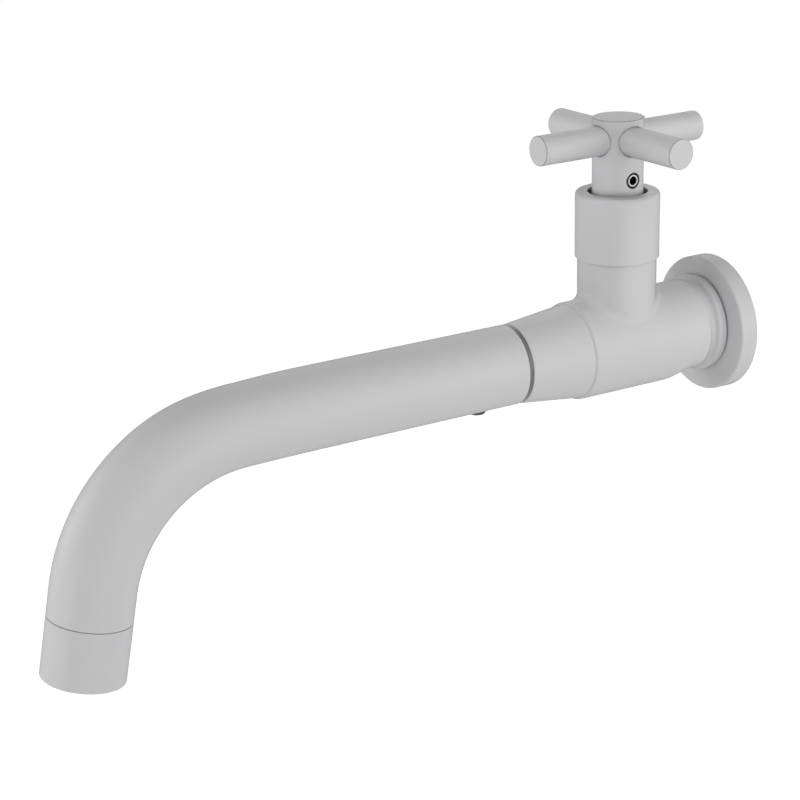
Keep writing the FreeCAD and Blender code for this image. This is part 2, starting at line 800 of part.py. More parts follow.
def make_aerator_strainer():
    """Thin domed sieve with two rings of holes, its flat rim on the insert."""
    body = at_outlet("aerator_strainer", "strainer_start")
    dome_foot = "insert_radius - strainer_rim"
    turn(body, "Dome", [
        ("0", "-strainer_rise"),
        (dome_foot, "0"),
        ("insert_radius", "0"),
        ("insert_radius", "strainer_thickness"),
        (dome_foot, "strainer_thickness"),
        ("0", "strainer_thickness - strainer_rise"),
    ])
    for name, share, count in (("Inner", "0.38", 6), ("Outer", "0.74", 12)):
        hole = drill(body, name + "Hole", "strainer_hole_radius", "strainer_rise + strainer_thickness + 2",
                     ("(%s) * %s" % (dome_foot, share), "0", "-strainer_rise - 1"))
        repeat(body, name + "Holes", [hole], count)
    return body


def make_aerator_insert():
    """Plastic core with straight hexagonal cells, three rings of them round one in the middle."""
    block = doc.addObject("Part::Cylinder", "InsertBlock")
    block.setExpression("Radius", bound("insert_radius"))
    block.setExpression("Height", bound("insert_end - insert_start"))
    cells = []
    for row in range(-CELL_RINGS, CELL_RINGS + 1):
        for column in range(-CELL_RINGS, CELL_RINGS + 1):
            if abs(row + column) > CELL_RINGS:
                continue
            cell = doc.addObject("Part::Prism", "Cell")
            cell.Polygon = 6
            cell.setExpression("Circumradius", bound("(cell_pitch - cell_wall) / 2 / cos(30)"))
            cell.setExpression("Height", bound("insert_end - insert_start"))
            place(cell, ("cell_pitch * (%s)" % (column + row / 2), "cell_pitch * (%s) * cos(30)" % row, "0"),
                  "z", "30")
            cells.append(cell)
    grid = doc.addObject("Part::Compound", "Cells")
    grid.Links = cells
    insert = doc.addObject("Part::Cut", "aerator_insert")
    insert.Label = "aerator_insert"
    insert.Base = block
    insert.Tool = grid
    place(insert, ("0", "-(outlet_depth + insert_start * cos(bend_angle))",
                   "-(outlet_drop + insert_start * sin(bend_angle))"), "x", "90 + bend_angle")
    return insert


# Headwork


def make_seat_seal():
    """Silicone ring between the body's seat and the fixed disc."""
    return ring_piece(on_branch("seat_seal", "seat_height"), "chamber_radius - disc_clearance - seal_width",
                      "chamber_radius - disc_clearance", "seal_height")


def make_fixed_disc():
    """Lower ceramic disc: two ports through it, and two keys that hold it in the housing."""
    body = on_branch("fixed_disc", "fixed_disc_height")
    turn(body, "Disc", rectangle("0", "0", "chamber_radius - disc_clearance", "disc_thickness"))
    extrude(body, "Keys", "XY", rectangle("-key_width / 2", "-(skirt_radius - key_clearance)",
                                          "key_width / 2", "skirt_radius - key_clearance"),
            "disc_thickness")
    port = turn(body, "Port", rectangle("port_inner_radius", "0", "port_outer_radius", "disc_thickness"),
                "Groove", "port_angle")
    repeat(body, "Ports", [port], 2)
    return body


def make_moving_disc():
    """Upper ceramic disc: two side cavities below and a slot for the spindle's tongue above."""
    body = on_branch("moving_disc", "moving_disc_height")
    turn(body, "Disc", rectangle("0", "0", "moving_disc_radius", "disc_thickness"))
    cavity = turn(body, "Cavity", rectangle("port_inner_radius", "0", "moving_disc_radius + 1",
                                            "cavity_height"), "Groove", "port_angle", "90")
    repeat(body, "Cavities", [cavity], 2)
    reach = "tongue_length / 2 + slot_play"
    half_width = "tongue_width / 2 + slot_play"
    extrude(body, "DriveSlot", "XY", rectangle("-(%s)" % reach, "-(%s)" % half_width, reach, half_width),
            "tongue_height + slot_play", "Pocket", "disc_thickness - tongue_height - slot_play")
    return body


def make_headwork_housing():
    """Brass housing: windowed skirt round the discs, thread, flange, hexagon and neck."""
    body = on_branch("headwork_housing", "flange_seat")
    skirt_end = "seat_height + skirt_gap - flange_seat"
    thread_end = "-flange_gasket_thickness - headwork_thread_length"
    thread_radius = "headwork_thread_radius - thread_clearance"
    neck_end = "neck_top - flange_seat"
    ceiling = "ceiling_height - flange_seat"
    turn(body, "Outside", [
        ("0", skirt_end),
        ("skirt_radius", skirt_end),
        ("skirt_radius", thread_end),
        (thread_radius, thread_end),
        (thread_radius, "0"),
        ("flange_radius", "0"),
        ("flange_radius", "flange_height"),
        ("neck_radius", "flange_height"),
        ("neck_radius", neck_end),
        ("0", neck_end),
    ])
    hexagon(body, "Hexagon", "hex_flats", "hex_height", ("0", "0", "flange_height"), cut=False)
    drill(body, "Chamber", "chamber_radius", "%s - (%s)" % (ceiling, skirt_end), ("0", "0", skirt_end))
    drill(body, "SpindleBore", "spindle_radius + swivel_fit", "neck_top - ceiling_height",
          ("0", "0", ceiling))
    turn(body, "StopGroove", rectangle(
        "stop_inner_radius - stop_clearance", ceiling, "chamber_radius",
        ceiling + " + stop_height - thrust_washer_thickness + stop_clearance"),
        "Groove", "turn_limit + stop_angle + 2 * stop_margin", "turn_limit / 2")
    extrude(body, "Windows", "YZ", rectangle(
        "-window_width / 2", "moving_disc_height - flange_seat",
        "window_width / 2", "carrier_height - flange_seat"),
        "2 * (skirt_radius + 1)", "Pocket", through=True)
    half_notch = "(key_width / 2 + key_clearance)"
    extrude(body, "KeyNotches", "XZ", rectangle(
        "-" + half_notch, skirt_end, half_notch, "moving_disc_height + key_clearance - flange_seat"),
        "2 * (skirt_radius + 1)", "Pocket", through=True)
    return body


def make_headwork_gasket():
    """Fibre ring under the housing's flange."""
    return ring_piece(on_branch("headwork_gasket", "branch_height"), "flange_radius - flange_gasket_width",
                      "flange_radius", "flange_gasket_thickness")


def make_headwork_sleeve():
    """Turned cover that hides the hexagon, screwed on the neck, with a wide mouth for the hub."""
    body = on_branch("headwork_sleeve", "branch_height")
    thread_end = "sleeve_thread_start + sleeve_thread_length"
    turn(body, "Cover", [
        ("sleeve_bore_radius", "0"),
        ("sleeve_radius", "0"),
        ("sleeve_radius", "sleeve_length"),
        ("sleeve_mouth_radius", "sleeve_length"),
        ("sleeve_mouth_radius", thread_end),
        ("neck_radius + thread_clearance", thread_end),
        ("neck_radius + thread_clearance", "sleeve_thread_start"),
        ("sleeve_bore_radius", "sleeve_thread_start"),
    ])
    soften(body, "TopRound", "Fillet", "sleeve_round", rings(("sleeve_radius", "sleeve_length")))
    soften(body, "MouthRound", "Fillet", "sleeve_inner_round",
           rings(("sleeve_mouth_radius", "sleeve_length")))
    return body


def make_spindle():
    """Spindle: drive tongue, carrier with its stop lug, two ring grooves and a splined end."""
    body = on_branch("spindle", "carrier_height")
    circlip_seat = "neck_top + running_clearance - carrier_height"
    spline_end = "spline_start + spline_length"
    turn(body, "Shaft", [
        ("0", "0"),
        ("moving_disc_radius", "0"),
        ("moving_disc_radius", "carrier_thickness"),
        ("spindle_radius", "carrier_thickness"),
        ("spindle_radius", "spline_start"),
        ("spline_radius", "spline_start"),
        ("spline_radius", spline_end),
        ("0", spline_end),
    ])
    extrude(body, "Tongue", "XY", rectangle("-tongue_length / 2", "-tongue_width / 2",
                                            "tongue_length / 2", "tongue_width / 2"),
            "tongue_height", "Pad", "-tongue_height")
    turn(body, "StopLug", rectangle("stop_inner_radius", "carrier_thickness", "moving_disc_radius",
                                    "carrier_thickness + stop_height"), "Revolution", "stop_angle")
    for name, height in (("FirstGroove", "spindle_ring_first"),
                         ("LastGroove", "spindle_ring_first + ring_spacing")):
        turn(body, name, rectangle(
            "spindle_radius - spindle_ring_section", height + " - spindle_groove_width / 2",
            "spindle_radius + 1", height + " + spindle_groove_width / 2"), "Groove")
    turn(body, "CirclipGroove", rectangle(
        "spindle_radius - circlip_groove_depth", circlip_seat + " - running_clearance",
        "spindle_radius + 1", circlip_seat + " + circlip_thickness + running_clearance"), "Groove")
    gap = extrude(body, "ToothGap", "XY", [
        ("spline_radius - spline_tooth_height", "-spline_radius * tan(45 / spline_teeth)"),
        ("spline_radius + 0.3", "-spline_radius * tan(140 / spline_teeth)"),
        ("spline_radius + 0.3", "spline_radius * tan(140 / spline_teeth)"),
        ("spline_radius - spline_tooth_height", "spline_radius * tan(45 / spline_teeth)"),
    ], "spline_length", "Pocket", "spline_start")
    pattern = repeat(body, "Spline", [gap], int(SIZES["spline_teeth"]))
    pattern.setExpression("Occurrences", bound("spline_teeth"))
    return body


def make_spindle_o_rings():
    """The two rings that seal the spindle in the housing's bore."""
    members = [rubber_ring("SpindleRing", "spindle_radius - spindle_ring_section / 2",
                           "spindle_ring_section", height)
               for height in ("spindle_ring_first", "spindle_ring_first + ring_spacing")]
    return two_rings("spindle_o_rings", members, ("0", "-branch_depth", "carrier_height"), "z", "0")


def make_spindle_circlip():
    """Open spring ring above the neck, which keeps the spindle from dropping."""
    body = on_branch("spindle_circlip", "neck_top + running_clearance")
    turn(body, "OpenRing", rectangle(
        "spindle_radius - circlip_groove_depth + thread_clearance", "0",
        "circlip_radius", "circlip_thickness"), "Revolution", "360 - circlip_opening")
    return body


def make_thrust_washer():
    """Slippery ring between the carrier and the ceiling of the housing's chamber."""
    return ring_piece(on_branch("thrust_washer", "washer_height"), "spindle_radius + swivel_fit",
                      "thrust_washer_radius", "thrust_washer_thickness")


# Cross handle


def drill_side(body, name, radius, length, distance, height):
    """Cut a round hole outwards from a distance off the hub's axis, on the grub screw's side."""
    cutter = drill(body, name, radius, length)
    lay(cutter, ("(%s) * cos(handle_rest_turn)" % distance,
                 "(%s) * sin(handle_rest_turn)" % distance, height), "handle_rest_turn")
    return cutter


def make_handle_hub():
    """Hub with a splined bore from below, a grub screw's hole and four spot-faced spoke seats."""
    body = on_branch("handle_hub", "hub_bottom")
    turn(body, "Barrel", rectangle("0", "0", "hub_radius", "hub_height"))
    soften(body, "EdgeChamfers", "Chamfer", "hub_chamfer",
           rings(("hub_radius", "0"), ("hub_radius", "hub_height")))
    drill(body, "Bore", "spline_radius - spline_tooth_height + spline_clearance",
          "spline_length + hub_bore_runout")
    space = extrude(body, "ToothSpace", "XY", [
        ("spline_radius - spline_tooth_height", "-spline_radius * tan(150 / spline_teeth)"),
        ("spline_radius + spline_clearance", "-spline_radius * tan(80 / spline_teeth)"),
        ("spline_radius + spline_clearance", "spline_radius * tan(80 / spline_teeth)"),
        ("spline_radius - spline_tooth_height", "spline_radius * tan(150 / spline_teeth)"),
    ], "spline_length + hub_bore_runout", "Pocket", facing="180 / spline_teeth")
    pattern = repeat(body, "Spline", [space], int(SIZES["spline_teeth"]))
    pattern.setExpression("Occurrences", bound("spline_teeth"))
    drill_side(body, "GrubHole", "grub_radius + thread_clearance", "hub_radius", "0", "grub_rise")
    drill_side(body, "GrubCountersink", "grub_radius + grub_countersink", "hub_radius",
               "hub_radius - grub_countersink", "grub_rise")
    seat = drill_side(body, "SpokeSeat", "spoke_radius + spoke_fit", "hub_radius",
                      "spoke_seat", "spoke_height")
    repeat(body, "SpokeSeats", [seat], len(SPOKES))
    spigot = drill_side(body, "SpigotHole", "spigot_radius + thread_clearance",
                        "spigot_length + spoke_fit", "spoke_seat - spigot_length - spoke_fit",
                        "spoke_height")
    repeat(body, "SpigotHoles", [spigot], len(SPOKES))
    return body


def make_spoke(side):
    """Plain round spoke with a threaded spigot at its inner end."""
    body = new_body("spoke_" + side)
    lay(body, ("0", "-branch_depth", "hub_bottom + spoke_height"),
        "handle_rest_turn + 360 * %d / %d" % (SPOKES.index(side), len(SPOKES)))
    turn(body, "Spoke", [
        ("0", "spoke_seat - spigot_length"),
        ("spigot_radius", "spoke_seat - spigot_length"),
        ("spigot_radius", "spoke_seat"),
        ("spoke_radius", "spoke_seat"),
        ("spoke_radius", "spoke_reach"),
        ("0", "spoke_reach"),
    ])
    soften(body, "EndChamfer", "Chamfer", "spoke_chamfer", rings(("spoke_radius", "spoke_reach")))
    return body


def make_handle_grub_screw():
    """Headless screw with a hexagon socket, its end against the spindle's spline."""
    body = new_body("handle_grub_screw")
    lay(body, ("0", "-branch_depth", "hub_bottom + grub_rise"), "handle_rest_turn")
    outer_end = "hub_radius - grub_sunk"
    turn(body, "Screw", rectangle("0", "spline_radius + thread_clearance", "grub_radius", outer_end))
    hexagon(body, "KeySocket", "grub_key_flats", "grub_key_depth",
            ("0", "0", outer_end + " - grub_key_depth"))
    return body


pieces = [
    make_valve_body(),
    make_wall_rose(),
    make_wall_gasket(),
    make_swivel_nipple(),
    make_nipple_seal(),
    make_swivel_o_rings(),
    make_friction_washer(),
    make_spout_tube(),
    make_spout_socket(),
    make_retaining_screw(),
    make_outlet_adaptor(),
    make_aerator_housing(),
    make_aerator_washer(),
    make_aerator_strainer(),
    make_aerator_insert(),
    make_seat_seal(),
    make_fixed_disc(),
    make_moving_disc(),
    make_headwork_housing(),
    make_headwork_gasket(),
    make_headwork_sleeve(),
    make_spindle(),
    make_spindle_o_rings(),
    make_spindle_circlip(),
    make_thrust_washer(),
    make_handle_hub(),
    make_handle_grub_screw(),
]
pieces += [make_spoke(side) for side in SPOKES]

doc.recompute()

failed = [item.Label for item in doc.Objects if {"Invalid", "Error"} & set(item.State)]
for piece in pieces:
    solids = 2 if piece.Label.endswith("_o_rings") else 1
    shape = piece.Shape
    if shape.isNull() or not shape.isValid() or len(shape.Solids) != solids:
        failed.append(piece.Label)
if failed:
    raise RuntimeError("these objects failed: " + ", ".join(failed))

os.makedirs("parts", exist_ok=True)
for piece in pieces:
    piece.Shape.exportStep("parts/%s.step" % piece.Label)
    print("%-20s %9.1f mm3" % (piece.Label, piece.Shape.Volume))
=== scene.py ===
"""Looks of a wall-mounted basin faucet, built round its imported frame.

The frame holds every piece at its real size and place. Each class below takes one sub-assembly, reads
its sizes from the frame where the frame has them, and makes or dresses what shows of it. Lengths are in
metres. +Z is up, the wall's face is the plane Y = 0, and the spout runs along -Y.
"""

import json
import logging
import math
from collections.abc import Callable, Sequence
from dataclasses import dataclass, field, replace
from enum import Enum

import bmesh
import bpy
import numpy as np
from mathutils import Matrix, Vector


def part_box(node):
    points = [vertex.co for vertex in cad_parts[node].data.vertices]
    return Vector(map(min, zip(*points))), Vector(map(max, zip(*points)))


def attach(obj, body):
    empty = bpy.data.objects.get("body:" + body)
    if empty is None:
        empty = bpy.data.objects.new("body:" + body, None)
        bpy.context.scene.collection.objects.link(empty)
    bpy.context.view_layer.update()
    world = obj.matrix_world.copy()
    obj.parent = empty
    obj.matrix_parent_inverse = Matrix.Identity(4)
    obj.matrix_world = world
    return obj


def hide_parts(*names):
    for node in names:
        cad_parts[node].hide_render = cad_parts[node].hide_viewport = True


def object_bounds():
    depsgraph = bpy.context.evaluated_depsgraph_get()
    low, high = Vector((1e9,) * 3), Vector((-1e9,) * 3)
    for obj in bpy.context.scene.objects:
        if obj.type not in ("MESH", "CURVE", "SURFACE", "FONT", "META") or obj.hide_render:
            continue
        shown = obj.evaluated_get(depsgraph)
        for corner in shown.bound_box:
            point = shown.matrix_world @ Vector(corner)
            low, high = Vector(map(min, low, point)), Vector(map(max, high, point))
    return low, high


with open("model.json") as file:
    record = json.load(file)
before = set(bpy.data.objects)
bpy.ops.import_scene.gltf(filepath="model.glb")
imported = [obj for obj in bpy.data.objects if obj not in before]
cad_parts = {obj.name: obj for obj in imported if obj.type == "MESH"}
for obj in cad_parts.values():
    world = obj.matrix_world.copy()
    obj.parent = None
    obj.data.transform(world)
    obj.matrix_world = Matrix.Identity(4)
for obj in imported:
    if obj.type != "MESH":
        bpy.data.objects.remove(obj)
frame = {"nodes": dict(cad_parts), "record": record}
CAD_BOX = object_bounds()

MM = 0.001
WELD = 1.2345e-7
WELD_SHIFT = 0.317
NO_LENGTH = 1e-9
FINE_TURN = math.radians(6.0)
SIXTH_TURN = math.pi / 3
QUARTER_TURN = math.pi / 2
# Name of the face attribute that marks edges for painted shade.
SHADE_LINE_MARK = "painted_edge_shade"
LOG = logging.getLogger("wall_faucet")

Array = np.ndarray
Inputs = dict[str | int, object]


class Body(Enum):
    """The rigid bodies of the frame."""

    VALVE = "valve"
    HANDLE = "handle"
    SPOUT = "spout"


class Slot(Enum):
    """The record's material slots."""

    COAT = "grey_coat"
    BRASS = "bare_brass"
    RUBBER = "black_rubber"
    ACETAL = "grey_acetal"
    CERAMIC = "ceramic"
    STEEL = "steel"
    DARK_STEEL = "dark_steel"
    PLASTIC = "white_plastic"


def middle_of(node: str) -> Vector:
    """Give the middle of a frame node's box."""
    return (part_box(node)[0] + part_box(node)[1]) / 2


def half_height(node: str) -> float:
    """Give half the height of a frame node's box, the radius of a piece that lies level."""
    return (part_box(node)[1].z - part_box(node)[0].z) / 2


def placed(name: str, data: bpy.types.ID | None) -> bpy.types.Object:
    """Put a new object in the scene.

    Args:
        name: The object's name.
        data: What it holds.

    Returns:
        The object.
    """
    holder = bpy.data.objects.new(name, data)
    bpy.context.scene.collection.objects.link(holder)
    return holder


# Node graphs


def math_node(operation: str, swapped: bool = False) -> Callable[["Term", object], "Term"]:
    """Give an operator of two terms that adds a Math node.

    Args:
        operation: The node's operation.
        swapped: True where the second operand goes first.

    Returns:
        The operator.
    """
    def operator(self: "Term", other: object) -> "Term":
        """Add the node."""
        return self.graph.math(operation, *((other, self) if swapped else (self, other)))

    return operator


@dataclass(frozen=True, eq=False)
class Term:
    """An output in a node graph. Where it is a number, plain arithmetic with it adds Math nodes."""

    graph: "Graph"
    socket: bpy.types.NodeSocket

    __add__ = __radd__ = math_node("ADD")
    __sub__ = math_node("SUBTRACT")
    __rsub__ = math_node("SUBTRACT", swapped=True)
    __mul__ = __rmul__ = math_node("MULTIPLY")
    __truediv__ = math_node("DIVIDE")
    __rtruediv__ = math_node("DIVIDE", swapped=True)
    __pow__ = math_node("POWER")
    __lt__ = math_node("LESS_THAN")
    __gt__ = math_node("GREATER_THAN")
    least = math_node("MINIMUM")
    most = math_node("MAXIMUM")


class Graph:
    """A node tree with short ways to add nodes and links."""

    def __init__(self, tree: bpy.types.NodeTree) -> None:
        """Wrap a tree."""
        self.tree = tree

    def add(self, kind: str, inputs: Inputs | None = None, **settings: object) -> bpy.types.Node:
        """Add a node.

        Args:
            kind: The node's type name.
            inputs: Values or terms for its inputs, by name or index.
            **settings: Properties of the node.

        Returns:
            The node.
        """
        node = self.tree.nodes.new(kind)
        for key, setting in settings.items():
            setattr(node, key, setting)
        self.feed(node, inputs or {})
        return node

    def feed(self, node: bpy.types.Node, inputs: Inputs) -> None:
        """Set or link a node's inputs.

        Args:
            node: The node.
            inputs: Values or terms, by name or index.
        """
        for key, given in inputs.items():
            if isinstance(given, Term):
                self.tree.links.new(given.socket, node.inputs[key])
            else:
                node.inputs[key].default_value = given

    def terms(self, node: bpy.types.Node) -> dict[str, Term]:
        """Give a node's outputs by name, in their order."""
        return {socket.name: Term(self, socket) for socket in node.outputs}

    def result(self, kind: str, output: str | int, inputs: Inputs | None = None, **settings: object) -> Term:
        """Add a node as add() does, and give one of its outputs by name or index."""
        return Term(self, self.add(kind, inputs, **settings).outputs[output])

    def math(self, operation: str, *operands: object) -> Term:
        """Add a Math node and give its result."""
        return self.result("ShaderNodeMath", 0, dict(enumerate(operands)), operation=operation)

    def parts(self, vector: Term) -> list[Term]:
        """Split a vector into its three parts."""
        return list(self.terms(self.add("ShaderNodeSeparateXYZ", {0: vector})).values())

    def joined(self, *parts: object) -> Term:
        """Make a vector of its three parts."""
        return self.result("ShaderNodeCombineXYZ", 0, dict(enumerate(parts)))

    def length(self, *parts: Term) -> Term:
        """Give the distance that two parts square to each other make."""
        return self.math("SQRT", parts[0] ** 2.0 + parts[1] ** 2.0)

    def scaled(self, vector: Term, factor: Term) -> Term:
        """Multiply a vector or colour by a number."""
        return self.result("ShaderNodeVectorMath", 0, {0: vector, "Scale": factor}, operation="SCALE")

    def noise(self, inputs: Inputs, dimensions: str = "3D") -> Term:
        """Add a noise and give its value."""
        return self.result("ShaderNodeTexNoise", "Fac", inputs, noise_dimensions=dimensions)

    def object_place(self) -> Term:
        """Give the Object coordinates of the shaded point."""
        return self.result("ShaderNodeTexCoord", "Object")


def nodes_of(block: bpy.types.Material | bpy.types.World) -> Graph:
    """Turn on a block's nodes and give their graph."""
    block.use_nodes = True
    return Graph(block.node_tree)


SOCKET_KINDS = {float: "Float", int: "Int", tuple: "Color", bpy.types.Material: "Material"}


def new_group(name: str, kind: str, inputs: Inputs, outputs: dict[str, str]) -> Graph:
    """Make an empty node group with named sockets.

    Args:
        name: The group's name.
        kind: Its tree type.
        inputs: Default value by name, or the type's name for a socket without one.
        outputs: Type's name by name.

    Returns:
        The group's graph.
    """
    tree = bpy.data.node_groups.new(name, kind)
    for label, default in inputs.items():
        plain = isinstance(default, str)
        kind_name = default if plain else SOCKET_KINDS[type(default)]
        socket = tree.interface.new_socket(label, in_out="INPUT", socket_type="NodeSocket" + kind_name)
        if not plain:
            socket.default_value = default
    for label, kind_name in outputs.items():
        tree.interface.new_socket(label, in_out="OUTPUT", socket_type="NodeSocket" + kind_name)
    return Graph(tree)


# Finishes


def speckle(graph: Graph, vector: Term, size: Term, broad_scale: float = 0.035,
            fine_share: float = 0.65) -> tuple[Term, Term]:
    """Add a fine speckle over a broad mottle.

    Args:
        graph: The shared group's graph.
        vector: The coordinates.
        size: The speckle's size.
        broad_scale: The mottle's scale, as a share of the speckle's.
        fine_share: The speckle's share of the mix.

    Returns:
        The mix, from 0 to 1, and the speckle alone.
    """
    fine = graph.noise({"Vector": vector, "Scale": 1.0 / size, "Detail": 3.0, "Roughness": 0.55})
    broad = graph.noise({"Vector": vector, "Scale": broad_scale / size, "Detail": 2.0, "Roughness": 0.5})
    return fine * fine_share + broad * (1 - fine_share), fine


def lathe_lines(graph: Graph, vector: Term, size: Term, face_share: float = 0.83) -> tuple[Term, Term]:
    """Add the fine rings that turning leaves round a Z axis.

    Args:
        graph: The shared group's graph.
        vector: The coordinates.
        size: The lines' width.
        face_share: How much a line's place depends on its distance from the axis.

    Returns:
        The lines, from 0 to 1, as the pattern and as its height.
    """
    across, aside, along = graph.parts(vector)
    travel = (graph.length(across, aside) * face_share + along) / size
    lines = graph.noise({"W": travel, "Scale": 1.0, "Detail": 2.0, "Roughness": 0.6}, "1D")
    return lines, lines


def pattern_group(name: str, draw: Callable[..., tuple[Term, Term]]) -> bpy.types.NodeTree:
    """Give the shared group that spreads a colour and a roughness by a pattern. It is built once.

    Args:
        name: The group's name.
        draw: Adds the pattern to a graph.

    Returns:
        The shader node group.
    """
    if name in bpy.data.node_groups:
        return bpy.data.node_groups[name]
    graph = new_group(
        name, "ShaderNodeTree",
        {"Vector": "Vector", "Colour": (0.6, 0.6, 0.6, 1.0), "Pattern Size": 0.0004, "Tint Spread": 0.05,
         "Roughness": 0.5, "Roughness Spread": 0.1},
        {"Colour": "Color", "Roughness": "Float", "Height": "Float"})
    given = graph.terms(graph.add("NodeGroupInput"))
    pattern, height = draw(graph, given["Vector"], given["Pattern Size"])
    centred = pattern - 0.5
    graph.add("NodeGroupOutput", {
        "Colour": graph.scaled(given["Colour"], centred * given["Tint Spread"] + 1.0),
        "Roughness": centred * given["Roughness Spread"] + given["Roughness"], "Height": height})
    return graph.tree


@dataclass(frozen=True)
class Finish:
    """A finish whose colour, roughness and relief come from the shared grain."""

    name: str
    colour: tuple[float, float, float]
    roughness: float
    metallic: float = 0.0
    specular: float = 0.5
    grain: float = 0.4 * MM
    tint_spread: float = 0.05
    roughness_spread: float = 0.1
    relief: float = 0.004 * MM
    sheen: float = 0.0
    subsurface: float = 0.0

    def group(self) -> bpy.types.NodeTree:
        """Give the shared group."""
        return pattern_group("SurfaceGrain", speckle)

    def vector(self, graph: Graph) -> Term:
        """Give the pattern's coordinates."""
        return graph.object_place()

    def toned(self, graph: Graph, colour: Term) -> Term:
        """Give the pattern's colour as it is."""
        return colour

    def build(self) -> bpy.types.Material:
        """Make the material.

        Returns:
            The material, named after the finish.
        """
        material = bpy.data.materials.new(self.name)
        graph = nodes_of(material)
        pattern = graph.terms(graph.add("ShaderNodeGroup", {
            "Vector": self.vector(graph), "Colour": (*self.colour, 1.0), "Pattern Size": self.grain,
            "Tint Spread": self.tint_spread, "Roughness": self.roughness,
            "Roughness Spread": self.roughness_spread}, node_tree=self.group()))
        bump = graph.result("ShaderNodeBump", 0, {"Height": pattern["Height"], "Distance": self.relief})
        graph.feed(graph.tree.nodes["Principled BSDF"], {
            "Base Color": self.toned(graph, pattern["Colour"]), "Roughness": pattern["Roughness"],
            "Normal": bump, "Metallic": self.metallic, "Specular IOR Level": self.specular,
            "Sheen Weight": self.sheen, "Subsurface Weight": self.subsurface,
            "Subsurface Radius": (MM, MM, MM)})
        return material


@dataclass(frozen=True)
class PaintedShadeCoat(Finish):
    """A coat with painted shade: its colour is darker where the surface slants away from the view, and on
    marked edges, as dark outlines.
    """

    # Painted shade: how much and how steeply the colour falls at a slant, and how much on marked edges.
    slant_shade: float = 0.75
    slant_shade_power: float = 5.0
    edge_shade: float = 0.4

    def toned(self, graph: Graph, colour: Term) -> Term:
        """Paint shade into the colour: darker at a slant to the view and on marked edges.

        Args:
            graph: The material's graph.
            colour: The pattern's colour.

        Returns:
            The colour with its painted shade.
        """
        slant = graph.result("ShaderNodeLayerWeight", "Facing", {"Blend": 0.5})
        edge = graph.result("ShaderNodeAttribute", "Fac", attribute_name=SHADE_LINE_MARK)
        # Painted shade: the colour is scaled down by the slant to the view and by the edge mark.
        kept = (1.0 - slant ** self.slant_shade_power * self.slant_shade) * (1.0 - edge * self.edge_shade)
        return graph.scaled(colour, kept)


@dataclass(frozen=True)
class SocketHighlightFinish(Finish):
    """A dark metal with a painted highlight: one bright ring round the socket of the grub screw, standing in
    for the light that its face reflects.
    """

    ring_centre: tuple[float, float, float] = (0.0, 0.0, 0.0)
    ring_radius: float = 2.05 * MM
    ring_start: float = 1.55 * MM
    ring_depth: float = 0.5 * MM
    ring_edge: float = 0.12 * MM
    # The painted highlight's colour.
    highlight_colour: tuple[float, float, float] = (0.46, 0.46, 0.45)

    def toned(self, graph: Graph, colour: Term) -> Term:
        """Paint the highlight: brighten the ring, which lies square to the X axis.

        Args:
            graph: The material's graph.
            colour: The pattern's colour.

        Returns:
            The mixed colour.
        """
        place = graph.result("ShaderNodeVectorMath", 0, {0: self.vector(graph), 1: self.ring_centre},
                             operation="SUBTRACT")
        along, across, aside = graph.parts(place)
        radius = graph.length(across, aside)
        spare = (self.ring_radius - radius).least(radius - self.ring_start)
        within = (spare / self.ring_edge).least(1.0).most(0.0)
        # Painted highlight: inside the ring, the colour becomes a bright grey.
        return graph.result("ShaderNodeMix", "Result", {
            "Factor": within * (along > -self.ring_depth), "A": colour, "B": (*self.highlight_colour, 1.0)},
            data_type="RGBA")


@dataclass(frozen=True)
class TurnedFinish(Finish):
    """A metal with lathe marks round its own axis. Its grain is the marks' width."""

    grain: float = 0.12 * MM
    centre: tuple[float, float, float] = (0.0, 0.0, 0.0)
    turn: tuple[float, float, float] = (0.0, 0.0, 0.0)

    def group(self) -> bpy.types.NodeTree:
        """Give the shared group."""
        return pattern_group("TurningMarks", lathe_lines)

    def vector(self, graph: Graph) -> Term:
        """Give coordinates centred on the piece's axis, with that axis as their Z."""
        inputs = {"Vector": super().vector(graph), "Location": self.centre, "Rotation": self.turn}
        return graph.result("ShaderNodeMapping", 0, inputs, vector_type="TEXTURE")


# Meshes


@dataclass(frozen=True)
class Seat:
    """Where a piece is turned: the start of its axis, its direction and the side where angles begin."""

    origin: tuple[float, float, float]
    along: tuple[float, float, float]
    aside: tuple[float, float, float]

    def axes(self) -> tuple[Array, Array, Array]:
        """Give the two directions across the axis, and the axis's own."""
        along, aside = np.array(self.along, float), np.array(self.aside, float)
        return aside, np.cross(along, aside), along

    def turned(self, across: Array, along: Array, angles: Array) -> Array:
        """Turn (across, along) pairs to angles from the aside direction.

        Args:
            across: Distances from the axis, or parts of a direction.
            along: Distances along the axis, or parts of a direction.
            angles: The angles, of a shape that the others fit.

        Returns:
            The vectors, without the seat's origin.
        """
        first, second, third = self.axes()
        return (across * np.cos(angles))[..., None] * first \
            + (across * np.sin(angles))[..., None] * second \
            + (along * np.ones_like(angles))[..., None] * third

    def at(self, across: Array, along: Array, angles: Array) -> Array:
        """Give points at distances across and along the axis, as turned() does."""
        return self.turned(across, along, angles) + np.array(self.origin, float)

    def moved(self, distance: float) -> "Seat":
        """Give the same seat, further along its axis."""
        start = np.array(self.origin, float) + distance * np.array(self.along, float)
        return replace(self, origin=tuple(start))


WALL_SEAT = Seat((0.0, 0.0, 0.0), (0.0, -1.0, 0.0), (0.0, 0.0, 1.0))


def upright(depth: float) -> Seat:
    """Give an upright axis at a place along Y, with angles from +X."""
    return Seat((0.0, depth, 0.0), (0.0, 0.0, 1.0), (1.0, 0.0, 0.0))


def even_angles(count: int, start: float = 0.0) -> Array:
    """Give a full turn of evenly spaced angles, without the last."""
    return start + np.arange(count) * (2 * math.pi / count)


